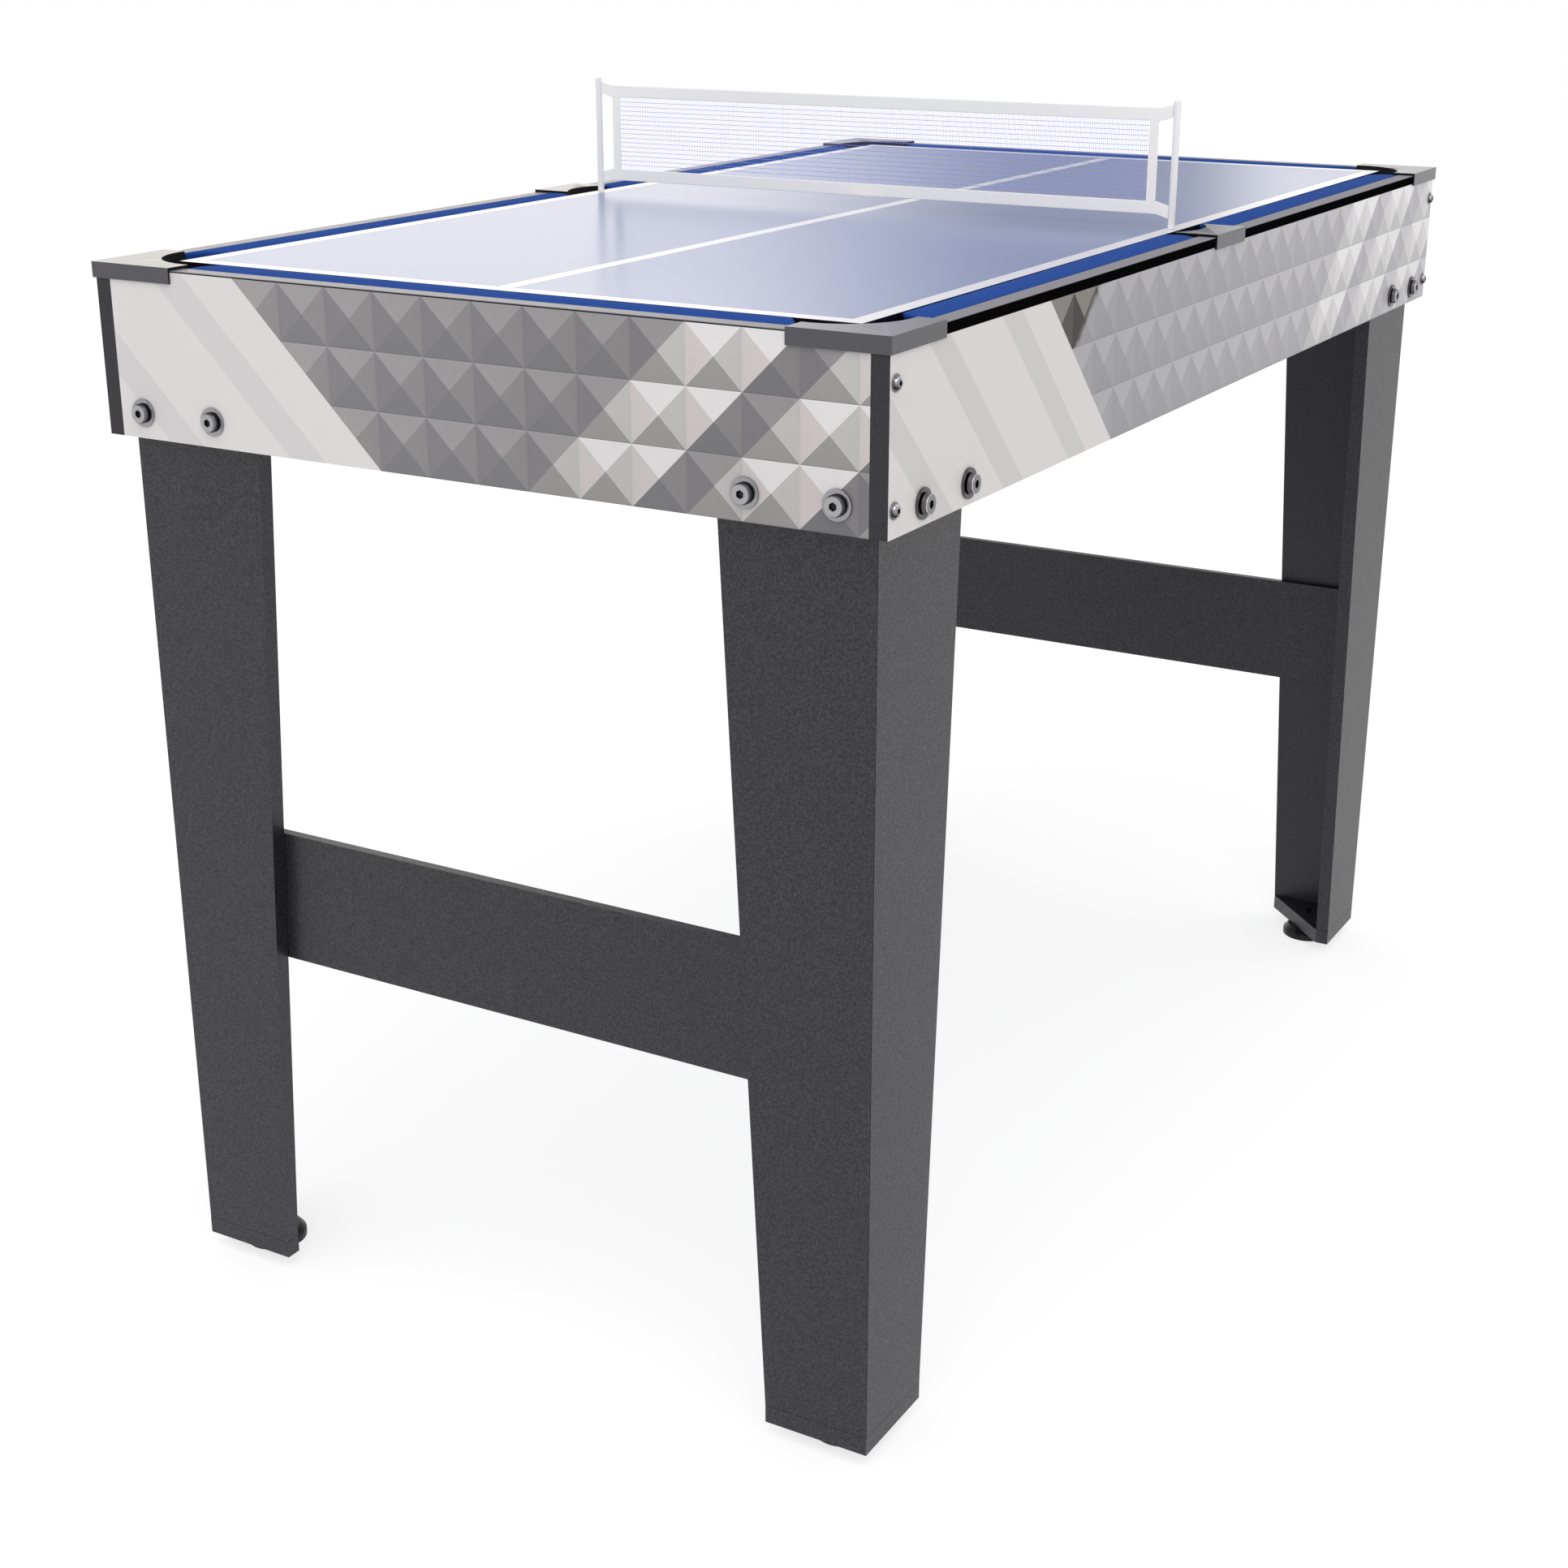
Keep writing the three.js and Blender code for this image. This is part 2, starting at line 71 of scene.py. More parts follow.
# A hair's breadth for tests of place, the gap under what lies on a face, and the width of an eased edge
HAIR = 0.00005
SEAT = 0.0003
EASE = 0.0005

# Each side's turn about Z and its distance from the middle, as in the CAD
SIDES = {
    "front": (0.0, HALF_WIDTH),
    "right": (math.pi / 2, HALF_LENGTH),
    "back": (math.pi, HALF_WIDTH),
    "left": (-math.pi / 2, HALF_LENGTH),
}
ENDS = {
    "front": ("left", "right"),
    "right": ("front", "back"),
    "back": ("right", "left"),
    "left": ("back", "front"),
}
CORNERS = ("front_left", "front_right", "back_right", "back_left")


def kind_of(side):
    """Whether a side is one of the table's long sides or an end."""
    return "side" if side in ("front", "back") else "end"


def length(default, description):
    """A property that holds a length in metres."""
    return FloatProperty(description=description, default=default, unit="LENGTH", precision=5)


def number(default, description, **limits):
    """A property that holds any other number."""
    return FloatProperty(description=description, default=default, **limits)


def tint(red, green, blue, description):
    """A property that holds a colour, given as its 0 to 255 screen values."""
    color = screen(red, green, blue)
    return FloatVectorProperty(description=description, default=color, size=4, min=0, max=1, subtype="COLOR")


def screen(red, green, blue):
    """A linear colour from 0 to 255 screen values."""
    scaled = [value / 255 for value in (red, green, blue)]
    linear = [v / 12.92 if v <= 0.04045 else ((v + 0.055) / 1.055) ** 2.4 for v in scaled]
    return (*linear, 1.0)


def add_tints(group, table, parts, description):
    """Adds a colour property to a group for each row and part of a table of screen colours."""
    for row, colors in table.items():
        for part, color in zip(parts, colors):
            group.__annotations__[f"{row}_{part}"] = tint(*color, description)


def name_properties(group):
    """Gives each property of a group its attribute's words as its name."""
    for key, waiting in group.__annotations__.items():
        name = key.replace("_", " ").capitalize()
        group.__annotations__[key] = waiting.function(**{**waiting.keywords, "name": name})


# Screen colours of the pyramids' facets: dark and light cells, and the front print's first, darkened ones.
# The side rows are the end print painted lighter and with less contrast, as the glancing light on the long
# sides shows it
FACETS = ("left", "right", "top", "bottom")
FACET_TONES = {
    "end_dark": ((118, 116, 119), (128, 126, 127), (147, 143, 145), (112, 112, 114)),
    "end_light": ((193, 187, 186), (179, 178, 177), (214, 212, 213), (142, 140, 139)),
    "side_dark": ((151, 149, 152), (157, 155, 160), (172, 170, 173), (147, 146, 149)),
    "side_light": ((215, 213, 214), (206, 203, 204), (230, 229, 230), (185, 185, 186)),
    "stain": ((46, 42, 40), (72, 68, 64), (128, 123, 117), (60, 56, 54)),
}

# Screen colours and roughness of a leg bolt's metals: its head, the head's turned edge and the two washers.
# The end and side rows are one steel painted lighter or darker for the reflections on each face of the table,
# and the edge is a painted dark outline on the ends and a painted highlight on the sides
BOLT_METALS = {"head": 0.3, "edge": 0.25, "washer": 0.16, "spring": 0.34}
BOLT_LIT_AND_SHADED_TONES = {
    "end": ((166, 166, 169), (84, 84, 88), (150, 150, 153), (58, 58, 61)),
    "side": ((128, 127, 131), (196, 195, 199), (86, 85, 89), (112, 108, 106)),
}


class PrintSettings(bpy.types.PropertyGroup):
    """Colours and layout of the printed apron faces."""

    # The side colours are the end print's colours painted as the glancing light on the long sides shows them
    end_white: tint(216, 214, 212, "Plain part of the print on the ends")
    end_stripe: tint(206, 203, 205, "Pale diagonal stripes on the ends")
    side_white: tint(216, 212, 211, "Plain part of the print on the sides")
    side_stripe: tint(202, 200, 198, "Pale diagonal stripes on the sides")
    # Painted shade: the dark cells lighten or darken along each face as the light across it does
    end_drift: number(-0.025, "Brightening of dark cells per column, ends")
    side_drift: number(0.024, "Brightening of dark cells per column, sides")
    end_start: length(-0.0743, "Where the pyramids start at an end apron's foot")
    side_start: length(-0.2395, "Where the pyramids start at a side apron's foot")
    end_column: length(0.0439, "Width of a cell on the ends")
    end_row: length(0.0434, "Height of a cell on the ends")
    side_column: length(0.0414, "Width of a cell on the sides")
    side_row: length(0.0409, "Height of a cell on the sides")
    end_run: IntProperty(description="Dark cells before the bands, ends", default=3)
    side_run: IntProperty(description="Dark cells before the bands, sides", default=11)
    groove: number(0.014, "Width of the fine lines, as a share of a cell", min=0, max=1, subtype="FACTOR")
    stripe_shift: number(1.96, "Start of the pale stripes, in cells")
    stripe_step: number(2.73, "Spacing of the pale stripes, in cells")
    stripe_width: number(0.79, "Width of a pale stripe, in cells")
    stain_edge: number(3.72, "Where the darkened pyramids end, in cells")


add_tints(PrintSettings, FACET_TONES, FACETS, "Colour of a pyramid's facet")


class BoardSettings(bpy.types.PropertyGroup):
    """Colours of the boards, rails and pocket mouldings."""

    laminate: tint(13, 12, 15, "Speckled board of the legs")
    laminate_fleck: tint(43, 41, 50, "Light flecks in the leg board")
    apron_inside: tint(116, 112, 108, "Unprinted inner face of the aprons")
    end_rail: tint(112, 109, 119, "Top of the rail strips at the ends")
    # Painted light: this colour is the rail top as the front rail catches the light; the back rail uses the
    # end colour
    side_rail: tint(127, 125, 132, "Top of the rail strips at the sides")
    # Partly painted shade: the edges' black also stands in for the dark gap under the rails
    rail_edge: tint(9, 9, 10, "Edges of the rail strips")
    cap: tint(70, 69, 75, "Outside of the pocket mouldings")
    # Painted reflection tint: the top is bluer only to offset the warm walls it reflects
    cap_top: tint(70, 69, 88, "Flat top of the pocket mouldings")
    cup: tint(22, 22, 24, "Inside of the pocket mouldings")
    raw_board: tint(150, 124, 92, "Unfinished board under the bed")
    fleck_size: length(0.0013, "Grain of the speckle on the leg board")


class TennisSettings(bpy.types.PropertyGroup):
    """Print on the table tennis top."""

    field: tint(118, 132, 176, "Blue of the playing surface")
    line: tint(226, 226, 232, "White of the lines")
    edge: tint(18, 18, 20, "Edge of the board")
    border: length(0.014, "Width of the border line")
    centre_line: length(0.0125, "Width of the line along the middle")


class ClothSettings(bpy.types.PropertyGroup):
    """Cloth of the cushions and the pool bed, and their shape."""

    cloth: tint(30, 80, 160, "Blue of the cushions")
    shade: tint(16, 54, 130, "Darker threads of the cloth")
    thread: length(0.00045, "Spacing of the cloth's threads")
    crown: length(0.0012, "How far a cushion's top swells")
    nose: length(0.0028, "Rounding of a cushion's nose")
    jaw: length(0.0055, "Rounding of a cushion at the pocket")
    setback: length(0.019, "How far a cushion's nose stops short at a corner pocket")
    undercut: length(0.0105, "How far a cushion's foot stands behind its nose")


class NetSettings(bpy.types.PropertyGroup):
    """Net and posts."""

    tape: tint(254, 252, 247, "White tape of the net")
    strand: tint(148, 159, 234, "Mesh strands")
    post: tint(241, 240, 241, "Plastic of the posts")
    pitch_across: length(0.00178, "Spacing of the upright strands")
    pitch_up: length(0.0041, "Spacing of the level strands")
    thin: length(0.00012, "Radius of an upright strand")
    thick: length(0.00018, "Radius of a level strand")
    tape_thread: length(0.0009, "Spacing of the tape's threads")
    tape_width: length(0.0106, "Height of the upper and lower tape")
    side_tape: length(0.0085, "Width of the upright tapes")
    tape_thickness: length(0.0013, "Thickness of the tapes")
    arm: length(0.0122, "Length of the arms that reach the posts")
    flare: length(0.0031, "How far the arms spread towards their ends")


class FittingSettings(bpy.types.PropertyGroup):
    """Bolts, screws and feet."""

    flange_steel: tint(138, 137, 141, "Flange of the corner screws")
    screw_steel: tint(158, 157, 161, "Domed head of the corner screws")
    stem_steel: tint(30, 30, 32, "Black metal of the feet's stems")
    # Painted shade: the near black inside the sockets stands in for the dark of the hole
    socket_black: tint(5, 5, 6, "Oiled black inside the hexagon sockets")
    foot: tint(12, 12, 13, "Plastic of the feet")
    spring_gap: length(0.0006, "Gap between the spring washer and the wide washer")
    stem: length(0.004, "Radius of a foot's stem")
    foot_rim: length(0.006, "Height of a foot's upright rim")
    foot_top: length(0.0212, "Radius of a foot where it meets the leg")
    washer: length(0.011, "Radius of the wide washer")
    washer_thickness: length(0.0016, "Thickness of the wide washer")
    spring: length(0.0077, "Radius of the spring washer")
    spring_thickness: length(0.002, "Thickness of the spring washer")
    head: length(0.007, "Radius of the bolt head")
    head_height: length(0.0029, "Height of the bolt head")
    socket: length(0.0032, "Radius of the hexagon socket")
    socket_depth: length(0.0022, "Depth of the hexagon socket")
    shank: length(0.004, "Radius of the bolt shank")
    screw: length(0.006, "Radius of the small corner screws")
    screw_flange: length(0.0009, "Thickness of a corner screw's flange")
    screw_height: length(0.0037, "How far a corner screw stands proud")
    head_round: length(0.0006, "Rounding of the bolt head's rim")
    screw_round: length(0.0023, "Rounding of a corner screw's dome")
    dome: length(0.00456, "Radius of a corner screw's dome")
    dome_socket: length(0.002016, "Radius of a corner screw's socket")
    dome_socket_depth: length(0.00264, "Depth of a corner screw's socket")
    screw_inset: length(0.0078, "Distance of a corner screw from the apron's end")
    screw_low: length(0.0189, "Height of the low screw above the apron's foot")
    screw_high: length(0.1020, "Height of the high screw above the apron's foot")


# The bolts' end and side colours are painted lit and shaded copies of one steel
add_tints(FittingSettings, BOLT_LIT_AND_SHADED_TONES, BOLT_METALS, "Metal of a part of the leg bolts")


class StageSettings(bpy.types.PropertyGroup):
    """Floor, light and camera."""

    floor: tint(250, 250, 250, "Pale floor")
    ambient: number(0.84, "Strength of the soft light all round", min=0)
    key: number(30, "Power of the large lamp overhead", subtype="POWER")
    floor_glow: number(0.62, "Share of the floor's own plain white", min=0, max=1, subtype="FACTOR")
    floor_white: number(1.18, "Strength of the floor's own plain white", min=0)
    wall: tint(255, 251, 242, "Warm white of the bright walls behind the table")
    wall_glow: number(0.75, "How much brighter than white the walls are")
    gap_shade: number(1.35, "How much darker than the walls the gap between them is")
    lens: number(54.955, "Focal length", subtype="DISTANCE_CAMERA")
    yaw: number(math.radians(59.958), "Turn from +Y towards +X", subtype="ANGLE")
    pitch: number(math.radians(20.024), "Tilt down", subtype="ANGLE")
    camera: FloatVectorProperty(
        description="Place of the camera", default=(-1.95035, -1.04011, 1.11084), unit="LENGTH"
    )


class Value:
    """A shader socket that can be used in sums, so that shader maths reads as an expression."""

    def __init__(self, finish, output):
        self.finish = finish
        self.output = output

    def maths(self, operation, *others):
        inputs = dict(enumerate((self, *others)))
        return self.finish.node("Math", inputs, operation=operation)

    def __rsub__(self, other):
        return self.finish.node("Math", {0: other, 1: self}, operation="SUBTRACT")

    __add__ = __radd__ = partialmethod(maths, "ADD")
    __mul__ = __rmul__ = partialmethod(maths, "MULTIPLY")
    __sub__ = partialmethod(maths, "SUBTRACT")
    __truediv__ = partialmethod(maths, "DIVIDE")
    __lt__ = partialmethod(maths, "LESS_THAN")
    __gt__ = partialmethod(maths, "GREATER_THAN")
    __abs__ = partialmethod(maths, "ABSOLUTE")
    fraction = partialmethod(maths, "FRACT")
    least = partialmethod(maths, "MINIMUM")
    most = partialmethod(maths, "MAXIMUM")


class Finish:
    """A material in the making: its Principled shader, and one method that adds any other node."""

    def __init__(self, name, color, roughness, metallic=0.0, specular=0.5):
        self.material = bpy.data.materials.new(name)
        self.material.use_nodes = True
        self.nodes = self.material.node_tree.nodes
        self.links = self.material.node_tree.links
        self.shader = self.nodes["Principled BSDF"]
        self.shader.inputs["Roughness"].default_value = roughness
        self.shader.inputs["Metallic"].default_value = metallic
        self.shader.inputs["Specular IOR Level"].default_value = specular
        self.color(color)

    @classmethod
    def of_world(cls, world):
        """The same tools for a world's nodes."""
        sky = cls.__new__(cls)
        sky.nodes, sky.links = world.node_tree.nodes, world.node_tree.links
        return sky

    def node(self, kind, inputs=None, output=0, **settings):
        """Adds a shader node with its settings and inputs, and returns one of its outputs."""
        node = self.nodes.new(f"ShaderNode{kind}")
        for key, value in settings.items():
            setattr(node, key, value)
        for key, value in (inputs or {}).items():
            self.feed(node.inputs[key], value)
        return Value(self, node.outputs[output])

    def feed(self, socket, value):
        if isinstance(value, Value):
            self.links.new(value.output, socket)
        elif hasattr(value, "__len__") and len(value) == 4:
            socket.default_value = tuple(value)
        else:
            socket.default_value = value

    def seen(self):
        """Whether the camera, gloss or glass sees the surface, each as 0 or 1."""
        rays = ("Camera", "Glossy", "Transmission")
        return [self.node("LightPath", output=f"Is {ray} Ray") for ray in rays]

    def color(self, value):
        self.feed(self.shader.inputs["Base Color"], value)

    def roughness(self, value):
        self.feed(self.shader.inputs["Roughness"], value)

    def place(self):
        """Object coordinates as three values."""
        return self.parts(self.node("TexCoord", output="Object"))

    def parts(self, vector):
        """A vector's three values."""
        return [self.node("SeparateXYZ", {0: vector}, axis) for axis in "XYZ"]

    def noise(self, scale, detail, stretch=(1, 1, 1)):
        """A noise from 0 to 1 over the object's own coordinates."""
        vector = self.node("TexCoord", output="Object")
        moved = self.node("Mapping", {"Vector": vector, "Scale": stretch})
        return self.node("TexNoise", {"Vector": moved, "Scale": scale, "Detail": detail}, "Fac")

    def mix(self, factor, first, second):
        """A colour that goes from first to second as the factor goes from 0 to 1."""
        return self.node("Mix", {0: factor, 6: first, 7: second}, 2, data_type="RGBA")

    def tone(self, color, factor):
        """A colour times a value that varies round 1."""
        grey = self.node("CombineColor", {0: factor, 1: factor, 2: factor})
        inputs = {0: 1.0, 6: color, 7: grey}
        return self.node("Mix", inputs, 2, data_type="RGBA", blend_type="MULTIPLY")

    def bump(self, height, distance, strength):
        inputs = {"Height": height, "Distance": distance, "Strength": strength}
        self.feed(self.shader.inputs["Normal"], self.node("Bump", inputs))


def printed_apron(side, settings, boards):
    """Print for one apron: a plain part with pale stripes, then rows of pyramids in dark and light bands."""
    kind = kind_of(side)

    # Ends and sides take their own rows; the sides' rows are painted lit copies of the end print
    def chosen(name):
        return getattr(settings, f"{kind}_{name}")

    finish = Finish(f"apron_print_{side}", chosen("white"), 0.42)
    x, y, z = finish.place()
    along = {"front": x, "back": 0 - x, "left": 0 - y, "right": y}[side]
    outward = {"front": 0 - y, "back": y, "left": 0 - x, "right": x}[side]
    outer = SIDES[side][1]
    u = (along - chosen("start")) / chosen("column")
    v = (z - APRON_BOTTOM) / chosen("row")
    a = u.fraction()
    b = v.fraction()
    above_rising = b > a
    above_falling = b > (1 - a)

    def facets(tones):
        left, right, upper, lower = (getattr(settings, f"{tones}_{facet}") for facet in FACETS)
        above = finish.mix(above_falling, left, upper)
        below = finish.mix(above_falling, lower, right)
        return finish.mix(above_rising, below, above)

    cells_on = u - v - chosen("run")
    is_light = ((cells_on / 3).fraction() < 2 / 3) * (cells_on > 0)
    # The drift along the face is painted shade
    dark = finish.tone(facets(f"{kind}_dark"), 1 + (u - 3) * chosen("drift"))
    light = finish.tone(facets(f"{kind}_light"), 0.96 + v * 0.035)
    studs = finish.mix(is_light, dark, light)
    fine = settings.groove
    upright = a.least(1 - a)
    seam_shade = (b < fine * 1.6).most((upright > fine * 0.6) * (upright < fine * 1.4))
    seam_light = ((1 - b) < fine).most(upright < fine * 0.6)
    ridge = abs(b - a).least(abs(a + b - 1)) < fine * 0.8
    swell = (a * (1 - a)) * (b * (1 - b)) * 16
    mottle = finish.noise(160, 3) * 0.05 + finish.noise(30, 2) * 0.03
    shade = 0.955 + mottle + swell * 0.02 + seam_light * 0.09 + ridge * 0.06 - seam_shade * 0.13
    pyramids = finish.tone(studs, shade)
    slope = u + v
    if side == "front":
        edge = (v - u - settings.stain_edge) * 5 + (finish.noise(90, 3) - 0.5) * 1.2
        stain = edge.least(1).most(0) * (v > 2) * (slope > 0)
        pyramids = finish.mix(stain, pyramids, finish.tone(facets("stain"), shade))
        finish.feed(finish.shader.inputs["Metallic"], stain * (outward > outer - HAIR))
    step = settings.stripe_step
    stripes = ((slope + settings.stripe_shift) / step).fraction() < settings.stripe_width / step
    plain = finish.mix(stripes, chosen("white"), chosen("stripe"))
    face = finish.mix(slope > 0, plain, pyramids)
    on_face = outward > outer - HAIR
    inside = outward < outer - PANEL + HAIR
    core = finish.mix(inside, speckle(finish, boards), boards.apron_inside)
    finish.color(finish.mix(on_face, core, face))
    finish.roughness(0.6 - on_face * 0.2)
    finish.bump(finish.noise(420, 2), 0.00003, 0.25)
    return finish.material


def speckle(finish, boards):
    """Colour of a dark board full of fine light grains."""
    fine = finish.noise(1 / boards.fleck_size, 2)
    coarse = finish.noise(0.55 / boards.fleck_size, 3)
    grains = (fine * 0.5 + coarse * 0.5 - 0.5) * 2.8 + 0.45
    color = finish.mix(grains.least(1).most(0), boards.laminate, boards.laminate_fleck)
    return finish.tone(color, 0.95 + finish.noise(40, 3) * 0.1)


def speckled_laminate(boards):
    finish = Finish("leg_laminate", boards.laminate, 0.45, specular=0.42)
    finish.color(speckle(finish, boards))
    fine = finish.noise(1 / boards.fleck_size, 2)
    finish.roughness(0.26 + fine * 0.36)
    finish.shader.inputs["Coat Roughness"].default_value = 0.35
    finish.feed(finish.shader.inputs["Coat Weight"], ((fine - 0.5) * 6 + 0.4).least(1).most(0) * 0.45)
    finish.bump(fine, 0.0001, 0.4)
    return finish.material


def grained(name, color, roughness, grain, shade, relief=None, specular=0.5, wear=0.0, stretch=(1, 1, 1)):
    """A plain material: one fine noise varies its tone, and its gloss and relief where they are given."""
    finish = Finish(name, color, roughness, specular=specular)
    noise = finish.noise(*grain, stretch=stretch)
    finish.color(finish.tone(color, 1 - shade + noise * (2 * shade)))
    if wear:
        finish.roughness(roughness - wear + noise * (2 * wear))
    if relief:
        finish.bump(noise, *relief)
    return finish.material


def smooth_plastic(name, color, roughness, specular=0.5):
    """Plastic with a fine grain in its gloss."""
    return grained(name, color, roughness, (500, 2), 0.02, (0.00002, 0.3), specular, wear=0.04)


def rail_edge_and_gap_shade_finish(boards):
    """Black of the rails' edges with no gloss at all, partly painted shade that stands in for the dark gap
    between rail and apron.
    """
    finish = Finish("rail_edge", boards.rail_edge, 0.9, specular=0.0)
    finish.color(finish.tone(boards.rail_edge, 0.8 + finish.noise(600, 3) * 0.4))
    finish.bump(finish.noise(900, 3), 0.00005, 0.3)
    return finish.material


def cap_finish(boards):
    """Satin plastic of the mouldings' outside, with the top painted a little bluer to offset the warm
    reflection it shows.
    """
    finish = Finish("pocket_plastic", boards.cap, 0.22)
    z = finish.place()[2]
    cloud = finish.noise(35, 2)
    shell = finish.mix(z > CAP_TOP - 0.0001, boards.cap, boards.cap_top)
    finish.color(finish.tone(shell, 0.975 + cloud * 0.05))
    finish.roughness(0.2 + cloud * 0.04)
    return finish.material


def tennis_finish(settings):
    """Blue field with a white border and a white line along the middle."""
    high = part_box("tennis_top")[1]
    finish = Finish("tennis_print", settings.field, 0.24)
    x, y, z = finish.place()
    border = (abs(x) > high.x - settings.border).most(abs(y) > high.y - settings.border)
    middle = abs(y) < settings.centre_line / 2
    cloud = finish.noise(9, 2)
    field = finish.tone(settings.field, 0.985 + cloud * 0.03)
    printed = finish.mix(border.most(middle), field, settings.line)
    finish.color(finish.mix(z > high.z - HAIR, settings.edge, printed))
    finish.bump(finish.noise(700, 2), 0.00002, 0.2)
    return finish.material


def cloth_finish(settings):
    """Close woven cloth whose threads run along and across the table."""
    finish = Finish("cushion_cloth", settings.cloth, 0.9, specular=0.12)
    x, y, z = finish.place()
    turns = 2 * math.pi / settings.thread
    along = (x * turns).maths("SINE")
    across = ((y + z) * turns).maths("SINE")
    weave = along * across * 0.5 + 0.5
    fuzz = finish.noise(1400, 3)
    color = finish.mix((weave * 0.4 + fuzz * 0.6).least(1), settings.shade, settings.cloth)
    finish.color(finish.tone(color, 0.97 + finish.noise(35, 2) * 0.06))
    finish.bump(weave * 0.5 + fuzz * 0.5, 0.00012, 0.5)
    return finish.material


def tape_finish(settings):
    finish = Finish("net_tape", settings.tape, 0.8)
    y, z = finish.place()[1:]
    turns = 2 * math.pi / settings.tape_thread
    weave = (y * turns).maths("SINE") * (z * turns).maths("SINE") * 0.5 + 0.5
    finish.color(finish.tone(settings.tape, 0.96 + weave * 0.05))
    finish.bump(weave, 0.0001, 0.4)
    return finish.material


def plated_steel(name, color, roughness, contrast=0.3, underside_shade=0.0):
    """Plated steel with a faint wear in its gloss, tone clouds of a chosen contrast that at high contrast are
    painted glints, and where asked a painted shade that darkens the faces turned down.
    """
    finish = Finish(name, color, roughness, metallic=1.0)
    wear_and_glint_mask = finish.noise(700, 3)
    wear_clouds_and_glints = (wear_and_glint_mask - 0.5) * contrast + 1
    if underside_shade:
        # Painted shade: the tone falls as the surface turns down
        up = finish.parts(finish.node("NewGeometry", output="Normal"))[2]
        wear_clouds_and_glints = wear_clouds_and_glints * (0.7 + up * underside_shade).most(0.08)
    finish.color(finish.tone(color, wear_clouds_and_glints))
    finish.roughness(roughness - 0.08 + wear_and_glint_mask * 0.16)
    finish.bump(wear_and_glint_mask, 0.00003, 0.3)
    return finish.material


def coat_node(node, material):
    """Puts a material in all slots of a CAD node."""
    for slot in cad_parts[node].material_slots:
        slot.material = material


def deselect():
    """Selects nothing, in object mode."""
    if bpy.context.object and bpy.context.object.mode != "OBJECT":
        bpy.ops.object.mode_set(mode="OBJECT")
    bpy.ops.object.select_all(action="DESELECT")


def activate(piece):
    """Selects one piece alone and makes it the active one."""
    deselect()
    piece.select_set(True)
    bpy.context.view_layer.objects.active = piece


def settle(piece, placement=Matrix()):
    """Puts a piece's place into its mesh, so that its object sits at the origin."""
    activate(piece)
    piece.matrix_world = placement @ piece.matrix_world
    bpy.ops.object.transform_apply()


def start_box(name, low, high):
    """A box primitive at its size and place."""
    deselect()
    low, high = Vector(low), Vector(high)
    bpy.ops.mesh.primitive_cube_add(size=1, location=(low + high) / 2)
    piece = bpy.context.object
    piece.name = name
    piece.scale = high - low
    settle(piece)
    return piece


def start_drum(name, radius, low, high, sides):
    """A cylinder primitive round the Z axis from one height to another."""
    deselect()
    centre = (0, 0, (low + high) / 2)
    bpy.ops.mesh.primitive_cylinder_add(vertices=sides, radius=radius, depth=high - low, location=centre)
    piece = bpy.context.object
    piece.name = name
    settle(piece)
    return piece


def pick(piece, kind, test):
    """Enters edit mode with the vertices, edges or faces that pass the test selected."""
    activate(piece)
    bpy.ops.object.mode_set(mode="EDIT")
    bpy.ops.mesh.select_mode(type=kind)
    bpy.ops.mesh.select_all(action="DESELECT")
    mesh = bmesh.from_edit_mesh(piece.data)
    parts = {"VERT": mesh.verts, "EDGE": mesh.edges, "FACE": mesh.faces}[kind]
    chosen = [part for part in parts if test(part)]
    if not chosen:
        raise RuntimeError(f"{piece.name}: nothing to shape was found")
    for part in chosen:
        part.select_set(True)
    bmesh.update_edit_mesh(piece.data)


def middle(edge):
    """The middle point of an edge."""
    return (edge.verts[0].co + edge.verts[1].co) / 2


def finish_mesh(piece, angle=20):
    """Shades the piece smooth up to an angle, which leaves flat faces flat beside a bevel."""
    activate(piece)
    bpy.ops.object.shade_smooth_by_angle(angle=math.radians(angle))


def bevel_edges(piece, width, angle):
    """Rounds all edges sharper than an angle with a modifier that is applied."""
    activate(piece)
    bevel = piece.modifiers.new("edge_rounding", "BEVEL")
    bevel.width = width
    bevel.segments = 2
    bevel.limit_method = "ANGLE"
    bevel.angle_limit = math.radians(angle)
    bpy.ops.object.modifier_apply(modifier=bevel.name)


def join(name, pieces):
    """Joins pieces into one object."""
    activate(pieces[0])
    for piece in pieces:
        piece.select_set(True)
    bpy.ops.object.join()
    joined = bpy.context.object
    joined.name = name
    return joined


def copy_piece(piece, name, placement):
    """A copy with a mesh of its own, put in its place."""
    activate(piece)
    bpy.ops.object.duplicate(linked=False)
    copied = bpy.context.object
    copied.name = name
    settle(copied, placement)
    return copied


def copy_node(node, name):
    """A copy of a CAD node with doubled points merged, flat faces made one face each, and eased edges."""
    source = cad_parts[node]
    activate(source)
    bpy.ops.object.duplicate(linked=False)
    copied = bpy.context.object
    copied.name = name
    copied.parent = None
    copied.data.materials.clear()
    bpy.ops.object.mode_set(mode="EDIT")
    bpy.ops.mesh.select_all(action="SELECT")
    bpy.ops.mesh.remove_doubles(threshold=0.000005)
    bpy.ops.mesh.dissolve_limited(angle_limit=math.radians(1))
    bevel_edges(copied, EASE, 40)
    finish_mesh(copied)
    return copied


def side_matrix(side):
    """From a side's own axes, X along it and Y inwards from its outer face, to the table's."""
    turn, reach = SIDES[side]
    return Matrix.Rotation(turn, 4, "Z") @ Matrix.Translation((0, -reach, 0))


